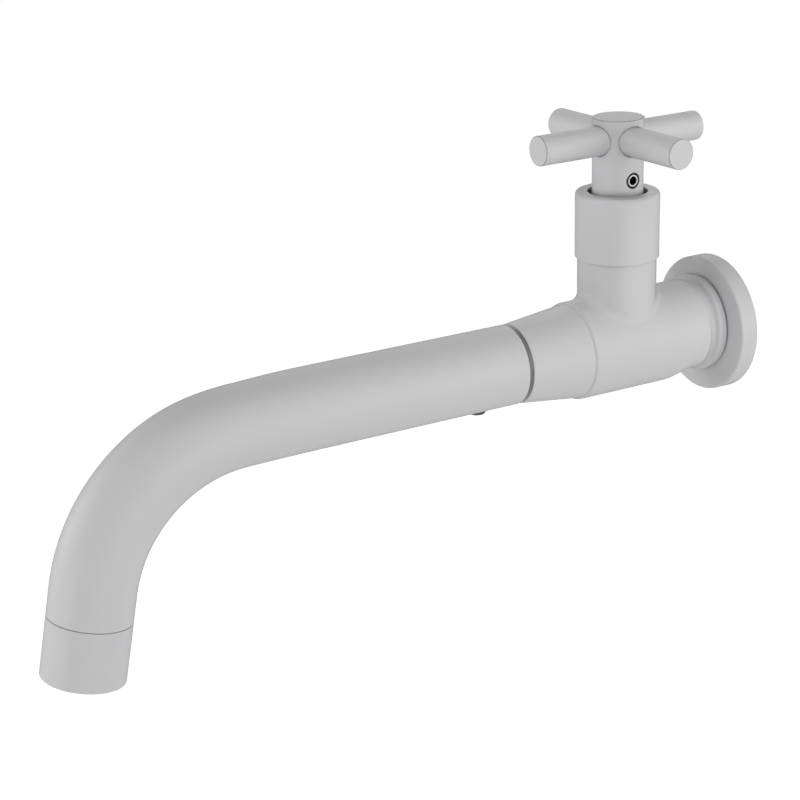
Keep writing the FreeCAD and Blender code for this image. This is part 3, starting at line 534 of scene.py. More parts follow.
@dataclass(frozen=True)
class Corner:
    """A corner of a profile: its distance from the axis, its place along it, and its rounding.

    Where skip is set, other code makes the straight stretch after it. Where shade_line is set, the
    corner's rounding gets painted shade: the coat's colour is darkened there as a dark outline.
    """

    across: float
    along: float
    round: float = 0.0
    skip: bool = False
    shade_line: bool = False


@dataclass(frozen=True)
class Stretch:
    """One smooth stretch of a profile, as points and the outward directions there."""

    points: Array
    normals: Array
    # Set on the rounding of a corner with shade_line set, whose faces get painted shade.
    shade_line: bool = False


def stretches(corners: Sequence[Corner]) -> list[Stretch]:
    """Split a closed profile into straight stretches and rounded corners.

    Args:
        corners: The corners in order.

    Returns:
        The stretches that have a length and don't lie on the axis.
    """
    points = np.array([(corner.across, corner.along) for corner in corners])
    before, after = np.roll(points, 1, axis=0), np.roll(points, -1, axis=0)
    side = math.copysign(1.0, np.sum(points[:, 0] * after[:, 1] - after[:, 0] * points[:, 1]))
    starts, ends, arcs = [], [], []
    for corner, here, last, following in zip(corners, points, before, after):
        incoming = (here - last) / np.linalg.norm(here - last)
        outgoing = (following - here) / np.linalg.norm(following - here)
        bend = math.atan2(incoming[0] * outgoing[1] - incoming[1] * outgoing[0], incoming @ outgoing)
        reach = corner.round * math.tan(abs(bend) / 2)
        starts.append(here - reach * incoming)
        ends.append(here + reach * outgoing)
        if corner.round > 0:
            swing = math.copysign(1.0, bend)
            centre = starts[-1] + corner.round * swing * np.array([-incoming[1], incoming[0]])
            turns = np.linspace(0.0, bend, max(2, math.ceil(abs(bend) / FINE_TURN)) + 1)
            spoke = starts[-1] - centre
            rim = np.stack([spoke[0] * np.cos(turns) - spoke[1] * np.sin(turns),
                            spoke[0] * np.sin(turns) + spoke[1] * np.cos(turns)], axis=1)
            arcs.append([Stretch(centre + rim, side * swing * rim / corner.round, corner.shade_line)])
        else:
            arcs.append([])
    found = []
    for corner, arc, start, end in zip(corners, arcs, ends, starts[1:] + starts[:1]):
        found += arc
        way = end - start
        length = np.linalg.norm(way)
        on_axis = abs(start[0]) < WELD and abs(end[0]) < WELD
        if not (corner.skip or on_axis or length < NO_LENGTH):
            normal = side * np.array([way[1], -way[0]]) / length
            found.append(Stretch(np.array([start, end]), np.array([normal, normal])))
    return found


@dataclass
class Skin:
    """The faces of a piece while it is built, each corner with its own true normal."""

    quads: list[Array] = field(default_factory=list)
    normals: list[Array] = field(default_factory=list)
    # Per face, 1 where the coat's colour gets painted shade along an edge.
    marks: list[Array] = field(default_factory=list)

    def add_grid(self, points: Array, normals: Array, wrap: bool = False, mark: float = 0.0) -> None:
        """Add the faces of a grid.

        Args:
            points: Rows by columns by three.
            normals: The outward normals there.
            wrap: True where the last column joins the first.
            mark: The faces' painted edge shade, 1 on the rounding of a corner with shade_line set.
        """
        for store, grid in ((self.quads, points), (self.normals, normals)):
            if wrap:
                grid = np.concatenate([grid, grid[:, :1]], axis=1)
            corners = (grid[:-1, :-1], grid[1:, :-1], grid[1:, 1:], grid[:-1, 1:])
            store.append(np.stack(corners, axis=2).reshape(-1, 4, 3))
        self.marks.append(np.full(len(self.quads[-1]), mark))

    def raise_by(self, rise: Callable[[Array, Array], Array]) -> None:
        """Raise the surface by an amount that changes along Y and Z.

        Args:
            rise: Gives the rise at places along Y and Z.
        """
        for quads, normals in zip(self.quads, self.normals):
            place, height = quads[..., 1], quads[..., 2].copy()
            lift = rise(place, height)
            along = (rise(place + WELD, height) - lift) / WELD
            upward = (rise(place, height + WELD) - lift) / WELD
            normals[..., 2] /= 1 + upward
            normals[..., 1] -= along * normals[..., 2]
            normals /= np.linalg.norm(normals, axis=-1, keepdims=True)
            quads[..., 2] += lift

    def turn(self, seat: Seat, corners: Sequence[Corner], angles: Array | int) -> "Skin":
        """Add a solid of revolution.

        Args:
            seat: Where it is turned.
            corners: Its closed profile.
            angles: The columns' angles, or how many even ones.

        Returns:
            The skin, for the next call.
        """
        columns = even_angles(angles) if isinstance(angles, int) else angles
        for stretch in stretches(corners):
            grid = columns + np.zeros((len(stretch.points), 1))
            self.add_grid(seat.at(stretch.points[:, :1], stretch.points[:, 1:], grid),
                          seat.turned(stretch.normals[:, :1], stretch.normals[:, 1:], grid),
                          wrap=True, mark=float(stretch.shade_line))
        return self

    def socket(self, seat: Seat, flats: float, depth: float, rim: float, angles: Array,
               lead_share: float = 0.06, cone_share: float = 0.2) -> "Skin":
        """Add the mouth, walls and floor of a hexagon socket in a flat face.

        Args:
            seat: The face's centre, with its axis out of the face.
            flats: Width across flats.
            depth: The socket's depth.
            rim: Radius of the circle where the face's own surface begins.
            angles: The columns of that circle, a multiple of six from zero.
            lead_share: The lead at its mouth, as a share of the flats.
            cone_share: The depth of its floor's cone, as a share of the flats.

        Returns:
            The skin, for the next call.
        """
        count = len(angles)
        lead = lead_share * flats
        reach = flats / 2 / np.cos(np.mod(angles, SIXTH_TURN) - SIXTH_TURN / 2)

        def band(start: tuple[object, float], end: tuple[object, float], facing: tuple[float, float],
                 side: Array, heading: Array | float) -> None:
            """Add the faces between two rows.

            Args:
                start: One row's distance across and place along.
                end: The other row's.
                facing: The parts of the normal, across and along.
                side: The columns.
                heading: The angle that the normal has.
            """
            across = np.stack([np.broadcast_to(row[0], count)[side] for row in (start, end)])
            along = np.array([[start[1]], [end[1]]])
            flat = np.ones_like(across)
            self.add_grid(seat.at(across, along, angles[side] * flat),
                          seat.turned(facing[0] * flat, facing[1] * flat, heading * flat),
                          wrap=len(side) == count)

        whole = np.arange(count)
        tilt = math.sqrt(0.5)
        band((rim, 0.0), (reach + lead, 0.0), (0.0, 1.0), whole, angles)
        band((reach + lead, 0.0), (reach, -lead), (-tilt, tilt), whole, angles)
        for index in range(6):
            side = (np.arange(count // 6 + 1) + index * count // 6) % count
            band((reach, -lead), (reach, -depth), (-1.0, 0.0), side, (index + 0.5) * SIXTH_TURN)
        band((reach, -depth), (0.0, -depth - cone_share * flats), (0.0, 1.0), whole, angles)
        return self

    def mesh(self, name: str, with_normals: bool = True) -> bpy.types.Mesh:
        """Make the mesh, welded and facing outwards.

        Args:
            name: The mesh's name.
            with_normals: True where the true normals are stored.

        Returns:
            The mesh.
        """
        quads, normals = np.concatenate(self.quads), np.concatenate(self.normals)
        facing = np.cross(quads[:, 2] - quads[:, 0], quads[:, 3] - quads[:, 1])
        inward = np.einsum("ij,ij->i", facing, normals.sum(axis=1)) < 0
        quads[inward] = quads[inward][:, ::-1]
        normals[inward] = normals[inward][:, ::-1]
        keys = np.floor(quads.reshape(-1, 3) / WELD + WELD_SHIFT).astype(np.int64)
        _, first, shared = np.unique(keys, axis=0, return_index=True, return_inverse=True)
        faces, corner_normals, marks = [], [], []
        for corners, directions, mark in zip(shared.reshape(-1, 4), normals, np.concatenate(self.marks)):
            kept = [index for index in range(4) if corners[index] != corners[index - 1]]
            if len(kept) > 2:
                faces.append([int(corners[index]) for index in kept])
                corner_normals += [tuple(directions[index]) for index in kept]
                marks.append(mark)
        mesh = bpy.data.meshes.new(name)
        mesh.from_pydata(quads.reshape(-1, 3)[first].tolist(), [], faces)
        if with_normals:
            mesh.shade_smooth()
            mesh.normals_split_custom_set(corner_normals)
        # The painted edge shade goes out as a face attribute, which the coat's material reads.
        if any(marks):
            mesh.attributes.new(SHADE_LINE_MARK, "FLOAT", "FACE").data.foreach_set("value", marks)
        return mesh

    def build(self, name: str, slot: Slot, body: Body, *nodes: str) -> None:
        """Make the piece, dress it and let it ride, as dress() does."""
        dress(placed(name, self.mesh(name)), slot, body, *nodes)


MATERIALS: dict[Slot, bpy.types.Material] = {}


def dress(piece: bpy.types.Object, slot: Slot, body: Body, *nodes: str) -> None:
    """Give a piece its material, its body and the nodes that it stands for.

    Args:
        piece: The object, with its place in its mesh.
        slot: Its material slot.
        body: The body that it rides on.
        *nodes: The frame's nodes that it stands for.
    """
    piece.data.materials.clear()
    piece.data.materials.append(MATERIALS[slot])
    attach(piece, body.value)
    if nodes:
        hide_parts(*nodes)
    counts = np.zeros(len(piece.data.edges), int)
    edges = np.zeros(len(piece.data.loops), int)
    piece.data.loops.foreach_get("edge_index", edges)
    np.add.at(counts, edges, 1)
    LOG.info("%s: %d faces, %d loose edges", piece.name, len(piece.data.polygons), int(np.sum(counts != 2)))


@dataclass(frozen=True)
class Window:
    """One sector of a cylinder, pierced by a round hole square to its axis.

    The sector runs from low to high along the cylinder, and half of its width to each side of the
    hole's own angle. Rows of points round the hole are given as parts: across, along and outwards.
    """

    seat: Seat
    radius: float
    angle: float
    half_width: float
    low: float
    high: float
    hole_along: float
    hole_radius: float
    columns: int
    rows: int
    rings: int

    def hole_angles(self) -> Array:
        """Give the angle round the hole that each point of the sector's edge runs to.

        Returns:
            The angles.
        """
        across, along = (np.linspace(-0.5, 0.5, count + 1)[:-1] * QUARTER_TURN
                         for count in (self.columns, self.rows))
        return np.concatenate([across - QUARTER_TURN, along, across + QUARTER_TURN, along + math.pi])

    def edge(self) -> tuple[Array, Array]:
        """Give where the points of the sector's edge are.

        Returns:
            Their turns from the hole's angle, and their places along.
        """
        across = np.linspace(-self.half_width, self.half_width, self.columns + 1)[:-1]
        along = np.linspace(self.low, self.high, self.rows + 1)[:-1]
        side, end = np.ones(self.rows), np.ones(self.columns)
        return (np.concatenate([across, self.half_width * side, -across, -self.half_width * side]),
                np.concatenate([self.low * end, along, self.high * end, self.high + self.low - along]))

    def directed(self, parts: Array) -> Array:
        """Turn directions given in parts into the frame's.

        Args:
            parts: The directions.

        Returns:
            The same directions in the frame's axes.
        """
        first, second, along = self.seat.axes()
        cosine, sine = math.cos(self.angle), math.sin(self.angle)
        return parts[..., :1] * (cosine * second - sine * first) + parts[..., 1:2] * along \
            + parts[..., 2:] * (cosine * first + sine * second)

    def add(self, skin: Skin, rows: Sequence[Array], normals: Sequence[Array]) -> None:
        """Add the faces between rows of points round the hole, all given in parts."""
        skin.add_grid(self.directed(np.stack(rows)) + np.array(self.seat.origin, float),
                      self.directed(np.stack(normals)), wrap=True)

    def ring(self, reach: float, outward: Array | float) -> Array:
        """Give a row of points round the hole.

        Args:
            reach: Their distance from the hole's axis.
            outward: Their distance from the cylinder's axis, as the hole runs.

        Returns:
            The points, in parts.
        """
        around = self.hole_angles()
        parts = (reach * np.cos(around), self.hole_along + reach * np.sin(around), outward)
        return np.stack(np.broadcast_arrays(*parts), axis=1)

    def surround(self, skin: Skin, turn: Array, along: Array) -> None:
        """Add the cylinder's surface between a closed line round the hole and the sector's edge.

        Args:
            skin: The skin to add to.
            turn: The line's turn from the hole's angle, one for each of the edge's points.
            along: The line's place along the cylinder.
        """
        edge_turn, edge_along = self.edge()
        share = np.linspace(0.0, 1.0, self.rings + 1)[:, None]
        angles = (1 - share) * turn + share * edge_turn + self.angle
        places = (1 - share) * along + share * edge_along
        skin.add_grid(self.seat.at(self.radius, places, angles),
                      self.seat.turned(1.0, 0.0, angles), wrap=True)

    def branch(self, skin: Skin, blend: float, height: float, steps: int = 14) -> None:
        """Add a round branch over the hole, blended into the cylinder by a rolling ball.

        Args:
            skin: The skin to add to.
            blend: The blend's radius.
            height: Where the branch ends, from the cylinder's axis.
            steps: How many rows of faces the blend has.
        """
        reach = self.radius + blend
        centre = self.ring(self.hole_radius + blend, 0.0)
        centre[:, 2] = np.sqrt(reach ** 2 - centre[:, 0] ** 2)
        self.surround(skin, np.arcsin(centre[:, 0] / reach), centre[:, 1])
        low = centre * np.array([1.0, 0.0, 1.0]) * -blend / reach
        high = self.ring(self.hole_radius, centre[:, 2]) - centre
        spread = np.arccos(np.clip(np.einsum("ij,ij->i", low, high) / blend ** 2, -1, 1))
        share = np.linspace(0.0, 1.0, steps + 1)[:, None]
        arms = (np.sin((1 - share) * spread) / np.sin(spread))[..., None] * low \
            + (np.sin(share * spread) / np.sin(spread))[..., None] * high
        self.add(skin, centre + arms, -arms / blend)
        self.add(skin, [centre + high, self.ring(self.hole_radius, height)], [-high / blend] * 2)

    def bore(self, skin: Skin, lead: float, depth: float, steps: int = 3) -> None:
        """Add a blind bore in the hole, with a small rounded lead at its edge.

        Args:
            skin: The skin to add to.
            lead: How far the lead reaches round and into the hole.
            depth: Where the bore ends, from the cylinder's axis.
            steps: How many rows of faces the lead has.
        """
        inward = self.ring(0.0, 0.0) - self.ring(1.0, 0.0)
        wide = self.ring(self.hole_radius + lead, 0.0)
        surface = wide * np.array([1.0, 0.0, 0.0]) / self.radius
        surface[:, 2] = np.sqrt(1.0 - surface[:, 0] ** 2)
        self.surround(skin, np.arcsin(surface[:, 0]), wide[:, 1])
        rows, normals = [], []
        for swing in np.linspace(0.0, QUARTER_TURN, steps + 1):
            reach = self.hole_radius + lead * (1 - math.sin(swing))
            outward = np.sqrt(self.radius ** 2 - self.ring(reach, 0.0)[:, 0] ** 2)
            rows.append(self.ring(reach, outward - lead * (1 - math.cos(swing))))
            mixed = math.cos(swing) * surface + math.sin(swing) * inward
            normals.append(mixed / np.linalg.norm(mixed, axis=1)[:, None])
        self.add(skin, rows, normals)
        floor = self.ring(self.hole_radius, depth)
        self.add(skin, [rows[-1], floor], [inward] * 2)
        self.add(skin, [floor, self.ring(0.0, depth)], [self.ring(0.0, 1.0) - self.ring(0.0, 0.0)] * 2)


# Geometry trees. Each takes its inputs as a dict, whose names and values are also its sockets'.


GEOMETRY = {"Geometry": "Geometry"}


def ended(graph: Graph, geometry: Term, material: Term) -> bpy.types.NodeTree:
    """End a geometry tree.

    Args:
        graph: The tree's graph.
        geometry: What it has made.
        material: The material's input.

    Returns:
        The tree.
    """
    real = graph.result("GeometryNodeRealizeInstances", 0, {"Geometry": geometry})
    coated = graph.result("GeometryNodeSetMaterial", 0, {"Geometry": real, "Material": material})
    graph.add("NodeGroupOutput", {"Geometry": coated})
    return graph.tree


def both(graph: Graph, first: Term, second: Term) -> Term:
    """Join two geometries.

    Args:
        graph: The tree's graph.
        first: The geometry whose link comes first.
        second: The other geometry.

    Returns:
        Their union.
    """
    joined = graph.add("GeometryNodeJoinGeometry", {0: first})
    graph.feed(joined, {0: second})
    return Term(graph, joined.outputs[0])


def vertex_place(graph: Graph) -> list[Term]:
    """Give the three parts of a vertex's place."""
    return graph.parts(graph.result("GeometryNodeInputPosition", 0))


def bend_tree(values: Inputs, peak: float = 0.3) -> bpy.types.NodeTree:
    """Build the tree that bends a straight tube along the spout's line: straight, arc, straight.

    Round the place where the bend begins, the tube is a little flatter and drops a little early, as a
    tube does that is drawn round a former. The tube it is given runs along -Y from its start.

    Args:
        values: The tree's inputs.
        peak: Where the flattening is greatest, in start lengths from the bend.

    Returns:
        The geometry tree.
    """
    graph = new_group("SpoutBend", "GeometryNodeTree", GEOMETRY | values, GEOMETRY)
    given = graph.terms(graph.add("NodeGroupInput"))
    straight, radius = given["Straight"], given["Bend Radius"]
    aside, along, upward = vertex_place(graph)
    travel = along * -1.0 - given["Start"]
    past = (travel - straight).most(0.0)
    turn = (past / radius).least(given["Bend Angle"])
    rest = past - turn * radius
    cosine, sine = graph.math("COSINE", turn), graph.math("SINE", turn)
    reach = travel.least(straight) + radius * sine + rest * cosine
    drop = radius * (1.0 - cosine) + rest * sine
    away = ((travel - straight) / given["Start Length"] - peak) ** 2.0
    bump = graph.math("EXPONENT", away * -1.0)
    inner = given["Inner Flattening"]
    squeeze = bump * ((upward > 0.0) * (given["Outer Flattening"] - inner) + inner)
    lift = upward * (1.0 - squeeze) - bump * given["Early Drop"]
    moved = graph.joined(aside, (reach + given["Start"] + lift * sine) * -1.0, lift * cosine - drop)
    bent = graph.result("GeometryNodeSetPosition", 0, {"Geometry": given["Geometry"], "Position": moved})
    return ended(graph, bent, given["Material"])


def thread_tree(values: Inputs, flat_share: float = 0.12, weld: float = 1e-7) -> bpy.types.NodeTree:
    """Build the tree that winds a pipe thread round the Y axis, as a closed ring of metal.

    The helix has flat crests and roots, fades in at the wall side and is cut by the end's chamfer. One
    row before it and two after it run down to the core and back along it, and close the ring.

    Args:
        values: The tree's inputs.
        flat_share: How much of the wave its crests and its roots cut off.
        weld: Vertices nearer than this become one.

    Returns:
        The geometry tree.
    """
    graph = new_group("PipeThread", "GeometryNodeTree", values, GEOMETRY)
    given = graph.terms(graph.add("NodeGroupInput"))
    rows, pitch, length, core = given["Rows"], given["Pitch"], given["Length"], given["Core Radius"]
    sheet = graph.result("GeometryNodeMeshGrid", 0, {
        "Size X": 1.0, "Size Y": 1.0, "Vertices X": given["Columns"] + 1.0, "Vertices Y": rows + 3.0})
    across, upward, _ = vertex_place(graph)
    turns = across + 0.5
    row = graph.math("ROUND", (upward + 0.5) * (rows + 2.0))
    share = ((row - 1.0) / (rows - 1.0)).least(1.0).most(0.0)
    travel = share * length * (row < rows + 1.5)
    wave = graph.math("PINGPONG", (travel / pitch + turns) * 2.0, 1.0)
    flank = (wave * (1 + 2 * flat_share) - flat_share).least(1.0).most(0.0)
    crest = flank * (travel / pitch).least(1.0)
    raised = given["Major Radius"] - given["Depth"] + crest * given["Depth"]
    cut = (given["Chamfer"] - (length - travel)).most(0.0)
    raised = raised.least(given["Major Radius"] - cut)
    reach = core + (raised - core) * (row > 0.5) * (row < rows + 0.5)
    angle = turns * (2 * math.pi)
    moved = graph.joined(reach * graph.math("COSINE", angle), travel, reach * graph.math("SINE", angle))
    wound = graph.result("GeometryNodeSetPosition", 0, {"Geometry": sheet, "Position": moved})
    welded = graph.result("GeometryNodeMergeByDistance", 0, {"Geometry": wound, "Distance": weld})
    return ended(graph, welded, given["Material"])


def honeycomb_tree(values: Inputs, sides: int = 96, weld: float = 1e-6) -> bpy.types.NodeTree:
    """Build the tree of the flow insert: a round plate pierced by hexagonal cells in rings.

    Args:
        values: The tree's inputs.
        sides: How many sides the plate's rim has.
        weld: Vertices nearer than this become one.

    Returns:
        The geometry tree. The plate lies in the XY plane and rises along Z.
    """
    graph = new_group("FlowInsert", "GeometryNodeTree", values, GEOMETRY)
    given = graph.terms(graph.add("NodeGroupInput"))
    rings, pitch, slope = given["Rings"], given["Pitch"], math.cos(SIXTH_TURN / 2)
    size = rings * 2.0
    lattice = graph.result("GeometryNodeMeshGrid", 0, {
        "Size X": size, "Size Y": size, "Vertices X": size + 1.0, "Vertices Y": size + 1.0})
    column, row, _ = vertex_place(graph)
    outside = graph.math("ABSOLUTE", column + row) > rings + 0.5
    kept = graph.result("GeometryNodeDeleteGeometry", 0, {"Geometry": lattice, "Selection": outside})
    spot = graph.joined((row * 0.5 + column) * pitch, row * slope * pitch, 0.0)
    spread = graph.result("GeometryNodeSetPosition", 0, {"Geometry": kept, "Position": spot})
    cell = graph.result("GeometryNodeCurvePrimitiveCircle", 0, {
        "Resolution": 6, "Radius": (pitch - given["Wall"]) / (2 * slope)})
    cells = graph.result("GeometryNodeInstanceOnPoints", 0, {
        "Points": spread, "Instance": cell, "Rotation": (0.0, 0.0, SIXTH_TURN / 2)})
    real_cells = graph.result("GeometryNodeRealizeInstances", 0, {"Geometry": cells})
    rim = graph.result("GeometryNodeCurvePrimitiveCircle", 0, {
        "Resolution": sides, "Radius": given["Radius"]})
    plate = graph.result("GeometryNodeFillCurve", 0, {"Curve": both(graph, real_cells, rim)})
    raised = graph.result("GeometryNodeExtrudeMesh", 0, {
        "Mesh": plate, "Offset Scale": given["Height"], "Individual": False})
    closed = both(graph, raised, graph.result("GeometryNodeFlipFaces", 0, {"Mesh": plate}))
    welded = graph.result("GeometryNodeMergeByDistance", 0, {"Geometry": closed, "Distance": weld})
    return ended(graph, welded, given["Material"])


def grown(name: str, slot: Slot, build_tree: Callable[[Inputs], bpy.types.NodeTree],
          values: Inputs, crease: float, base: bpy.types.Mesh | None = None) -> bpy.types.Object:
    """Run a geometry tree and keep its result as a plain mesh.

    Args:
        name: The new piece's name.
        slot: Its material slot.
        build_tree: Builds the tree.
        values: The tree's inputs by name, without the material.
        crease: Edges sharper than this angle stay sharp.
        base: The mesh that the tree starts from, or None for an empty one.

    Returns:
        An object with the result and no modifier.
    """
    values = {**values, "Material": MATERIALS[slot]}
    piece = placed(name, base or bpy.data.meshes.new(name))
    modifier = piece.modifiers.new("Shape", "NODES")
    modifier.node_group = build_tree(values)
    for item in modifier.node_group.interface.items_tree:
        if item.in_out == "INPUT" and item.name in values:
            modifier[item.identifier] = values[item.name]
    graph = bpy.context.evaluated_depsgraph_get()
    result = bpy.data.meshes.new_from_object(piece.evaluated_get(graph), depsgraph=graph)
    result.name = name
    piece.modifiers.remove(modifier)
    piece.data = result
    shape = bmesh.new()
    shape.from_mesh(result)
    for edge in shape.edges:
        edge.smooth = len(edge.link_faces) != 2 or edge.calc_face_angle(0.0) < crease
    for face in shape.faces:
        face.smooth = True
    shape.to_mesh(result)
    shape.free()
    return piece


# Sub-assemblies


@dataclass
class WallSide:
    """Round rose against the wall and the soft gasket in its recess."""

    rim_width: float = 3.5 * MM
    plate: float = 2.9 * MM
    front_round: float = 0.9 * MM
    back_round: float = 0.25 * MM
    bore_round: float = 0.2 * MM
    bore_radius: float = 10.88 * MM
    face_rise: float = 1.2 * MM
    face_end: float = 14.8 * MM
    gasket_gap: float = 0.3 * MM
    gasket_bore: float = 11.48 * MM
    gasket_round: float = 0.5 * MM
    rose_columns: int = 192
    gasket_columns: int = 128

    def build(self) -> None:
        """Make the rose and the gasket."""
        low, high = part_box("wall_rose")
        radius, thickness = high.x, -low.y
        inner = radius - self.rim_width
        recess = thickness - self.plate
        Skin().turn(WALL_SEAT, [
            Corner(inner, 0.0, self.back_round),
            Corner(radius, 0.0, self.back_round),
            Corner(radius, thickness, self.front_round),
            Corner(self.face_end, thickness + self.face_rise),
            Corner(self.face_end, thickness),
            Corner(self.bore_radius, thickness, self.bore_round),
            Corner(self.bore_radius, recess, self.bore_round),
            Corner(inner, recess),
        ], self.rose_columns).build("rose_plate", Slot.COAT, Body.VALVE, "wall_rose")
        outer = inner - self.gasket_gap
        depth = -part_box("wall_gasket")[0].y
        Skin().turn(WALL_SEAT, [
            Corner(self.gasket_bore, 0.0, self.gasket_round),
            Corner(outer, 0.0, self.gasket_round),
            Corner(outer, depth),
            Corner(self.gasket_bore, depth),
        ], self.gasket_columns).build("rose_gasket", Slot.RUBBER, Body.VALVE, "wall_gasket")


@dataclass
class Casting:
    """The valve's cast body: tail, collar, waist, barrel, cone and the branch under the handle."""

    tail_length: float = 11.5 * MM
    tail_chamfer: float = 1.2 * MM
    thread_depth: float = 1.162 * MM
    thread_pitch: float = 1.814 * MM
    thread_columns: int = 96
    thread_rows: int = 150
    thread_crease: float = math.radians(50)
    shank_radius: float = 9.6 * MM
    core_inset: float = 0.4 * MM
    major_radius: float = 10.4775 * MM
    bore_radius: float = 6.0 * MM
    bore_depth: float = 32.0 * MM
    bore_lead: float = 0.5 * MM
    boss_radius: float = 13.5 * MM
    boss_length: float = 1.35 * MM
    collar_radius: float = 17.6 * MM
    collar_length: float = 1.95 * MM
    collar_rise: float = 0.95 * MM
    flare_length: float = 2.7 * MM
    waist_radius: float = 16.2 * MM
    shoulder_length: float = 3.4 * MM
    neck_depth: float = 2.4 * MM
    neck_power: float = 1.5
    neck_start: float = 18.5 * MM
    neck_end: float = 28.3 * MM
    barrel_length: float = 47.7 * MM
    barrel_radius: float = 17.4 * MM
    short_rows: int = 12
    short_rows_length: float = 9.0 * MM
    lip_step: float = 0.7 * MM
    lip_length: float = 1.2 * MM
    cone_length: float = 23.6 * MM
    spout_radius: float = 14.0 * MM
    rim_round: float = 0.25 * MM
    branch_radius: float = 13.95 * MM
    branch_blend: float = 3.5 * MM
    branch_round: float = 0.25 * MM
    headwork_bore: float = 10.5 * MM
    headwork_depth: float = 9.0 * MM
    front_bore: float = 9.65 * MM
    front_depth: float = 3.0 * MM
    columns: int = 120
    rows: int = 44
    rings: int = 26

    def rise(self, depth: Array, height: Array, stops: tuple[float, ...]) -> Array:
        """Give how far the casting's rear sits above the tail's axis, with its longer neck underneath.

        Args:
            depth: Distances from the wall's face.
            height: Heights from the tail's axis.
            stops: The distances where the rise begins and is whole, and where waist and shoulder end.

        Returns:
            The rise.
        """
        def ease(start: float, end: float) -> Array:
            """Give a smooth step from 0 at one distance to 1 at another."""
            share = np.clip((depth - start) / (end - start), 0.0, 1.0)
            return share ** 2 * (3 - 2 * share)

        low, full, waist, shoulder = stops
        under = np.clip(-height / self.barrel_radius, 0.0, 1.0) ** self.neck_power
        neck = ease(waist, shoulder) - ease(self.neck_start, self.neck_end)
        return self.collar_rise * (ease(low, full) - ease(waist, shoulder)) + self.neck_depth * under * neck

    def double_bend(self, start: tuple[float, float], end: tuple[float, float]) -> list[Corner]:
        """Give the corners of an S between two straight stretches along the axis.

        Args:
            start: Where the S begins, across and along.
            end: Where it ends.

        Returns:
            The two corners, whose arcs meet halfway.
        """
        length, step = end[1] - start[1], abs(end[0] - start[0])
        radius = (length ** 2 + step ** 2) / (4 * step)
        reach = radius * math.tan(math.asin(length / 2 / radius) / 2)
        return [Corner(start[0], start[1] + reach, radius), Corner(end[0], end[1] - reach, radius)]

    def build(self) -> None:
        """Make the casting and the thread on its tail."""
        tail = self.tail_length
        rose = -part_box("wall_rose")[0].y
        branch_depth = -middle_of("handle_hub").y
        branch_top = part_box("headwork_sleeve")[0].z
        boss_end = rose + self.boss_length
        collar_end = boss_end + self.collar_length
        waist = collar_end + self.flare_length
        barrel_start = waist + self.shoulder_length
        window_start = barrel_start + self.short_rows_length
        barrel_end = barrel_start + self.barrel_length
        cone_start = barrel_end + self.lip_length
        cone_end = cone_start + self.cone_length
        lip_round = (self.lip_length ** 2 + self.lip_step ** 2) / (2 * self.lip_step)
        lip_reach = lip_round * math.tan(math.asin(self.lip_length / lip_round) / 2)
        core = self.major_radius - self.thread_depth - self.core_inset
        short_rows = [Corner(self.barrel_radius, place)
                      for place in np.linspace(barrel_start, window_start, self.short_rows + 1)[1:]]
        window = Window(WALL_SEAT, self.barrel_radius, 0.0, math.pi, window_start, barrel_end,
                        branch_depth, self.branch_radius, self.columns, self.rows, self.rings)
        skin = Skin().turn(WALL_SEAT, [
            Corner(0.0, self.bore_depth - tail),
            Corner(self.bore_radius, self.bore_depth - tail),
            Corner(self.bore_radius, -tail, self.bore_lead),
            Corner(core, -tail),
            Corner(core, 0.0),
            Corner(self.shank_radius, 0.0),
            Corner(self.shank_radius, rose),
            Corner(self.boss_radius, rose),
            Corner(self.boss_radius, boss_end),
            Corner(self.collar_radius, boss_end, self.rim_round),
            *self.double_bend((self.collar_radius, collar_end), (self.waist_radius, waist)),
            *self.double_bend((self.waist_radius, waist), (self.barrel_radius, barrel_start)),
            *short_rows[:-1],
            replace(short_rows[-1], skip=True),
            Corner(self.barrel_radius, barrel_end + lip_reach, lip_round),
            Corner(self.barrel_radius - self.lip_step, cone_start),
            Corner(self.spout_radius, cone_end, self.rim_round),
            Corner(self.front_bore, cone_end, self.rim_round),
            Corner(self.front_bore, cone_end - self.front_depth),
            Corner(0.0, cone_end - self.front_depth),
        ], window.edge()[0][:self.columns])
        window.branch(skin, self.branch_blend, branch_top - self.branch_round)
        skin.turn(upright(-branch_depth), [
            Corner(self.branch_radius, self.headwork_depth, skip=True),
            Corner(self.branch_radius, branch_top, self.branch_round),
            Corner(self.headwork_bore, branch_top, self.branch_round),
            Corner(self.headwork_bore, self.headwork_depth),
            Corner(0.0, self.headwork_depth, skip=True),
        ], -window.hole_angles())
        stops = (rose, boss_end, waist, barrel_start)
        skin.raise_by(lambda place, height: self.rise(-place, height, stops))
        skin.build("cast_body", Slot.COAT, Body.VALVE, "valve_body")
        thread = grown("tail_thread", Slot.COAT, thread_tree, {
            "Length": tail, "Pitch": self.thread_pitch, "Major Radius": self.major_radius,
            "Depth": self.thread_depth, "Chamfer": self.tail_chamfer, "Core Radius": core - self.core_inset,
            "Columns": self.thread_columns, "Rows": self.thread_rows}, self.thread_crease)
        dress(thread, Slot.COAT, Body.VALVE)


@dataclass
class SwivelRing:
    """The washer that shows as a grey band between the cone and the spout."""

    edge_round: float = 0.22 * MM
    bore: float = 10.0 * MM
    columns: int = 128

    def build(self) -> None:
        """Make the washer."""
        low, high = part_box("friction_washer")
        thickness = high.y - low.y
        Skin().turn(WALL_SEAT.moved(-high.y), [
            Corner(self.bore, 0.0),
            Corner(high.x, 0.0, self.edge_round),
            Corner(high.x, thickness, self.edge_round),
            Corner(self.bore, thickness),
        ], self.columns).build("swivel_washer", Slot.ACETAL, Body.VALVE, "friction_washer")


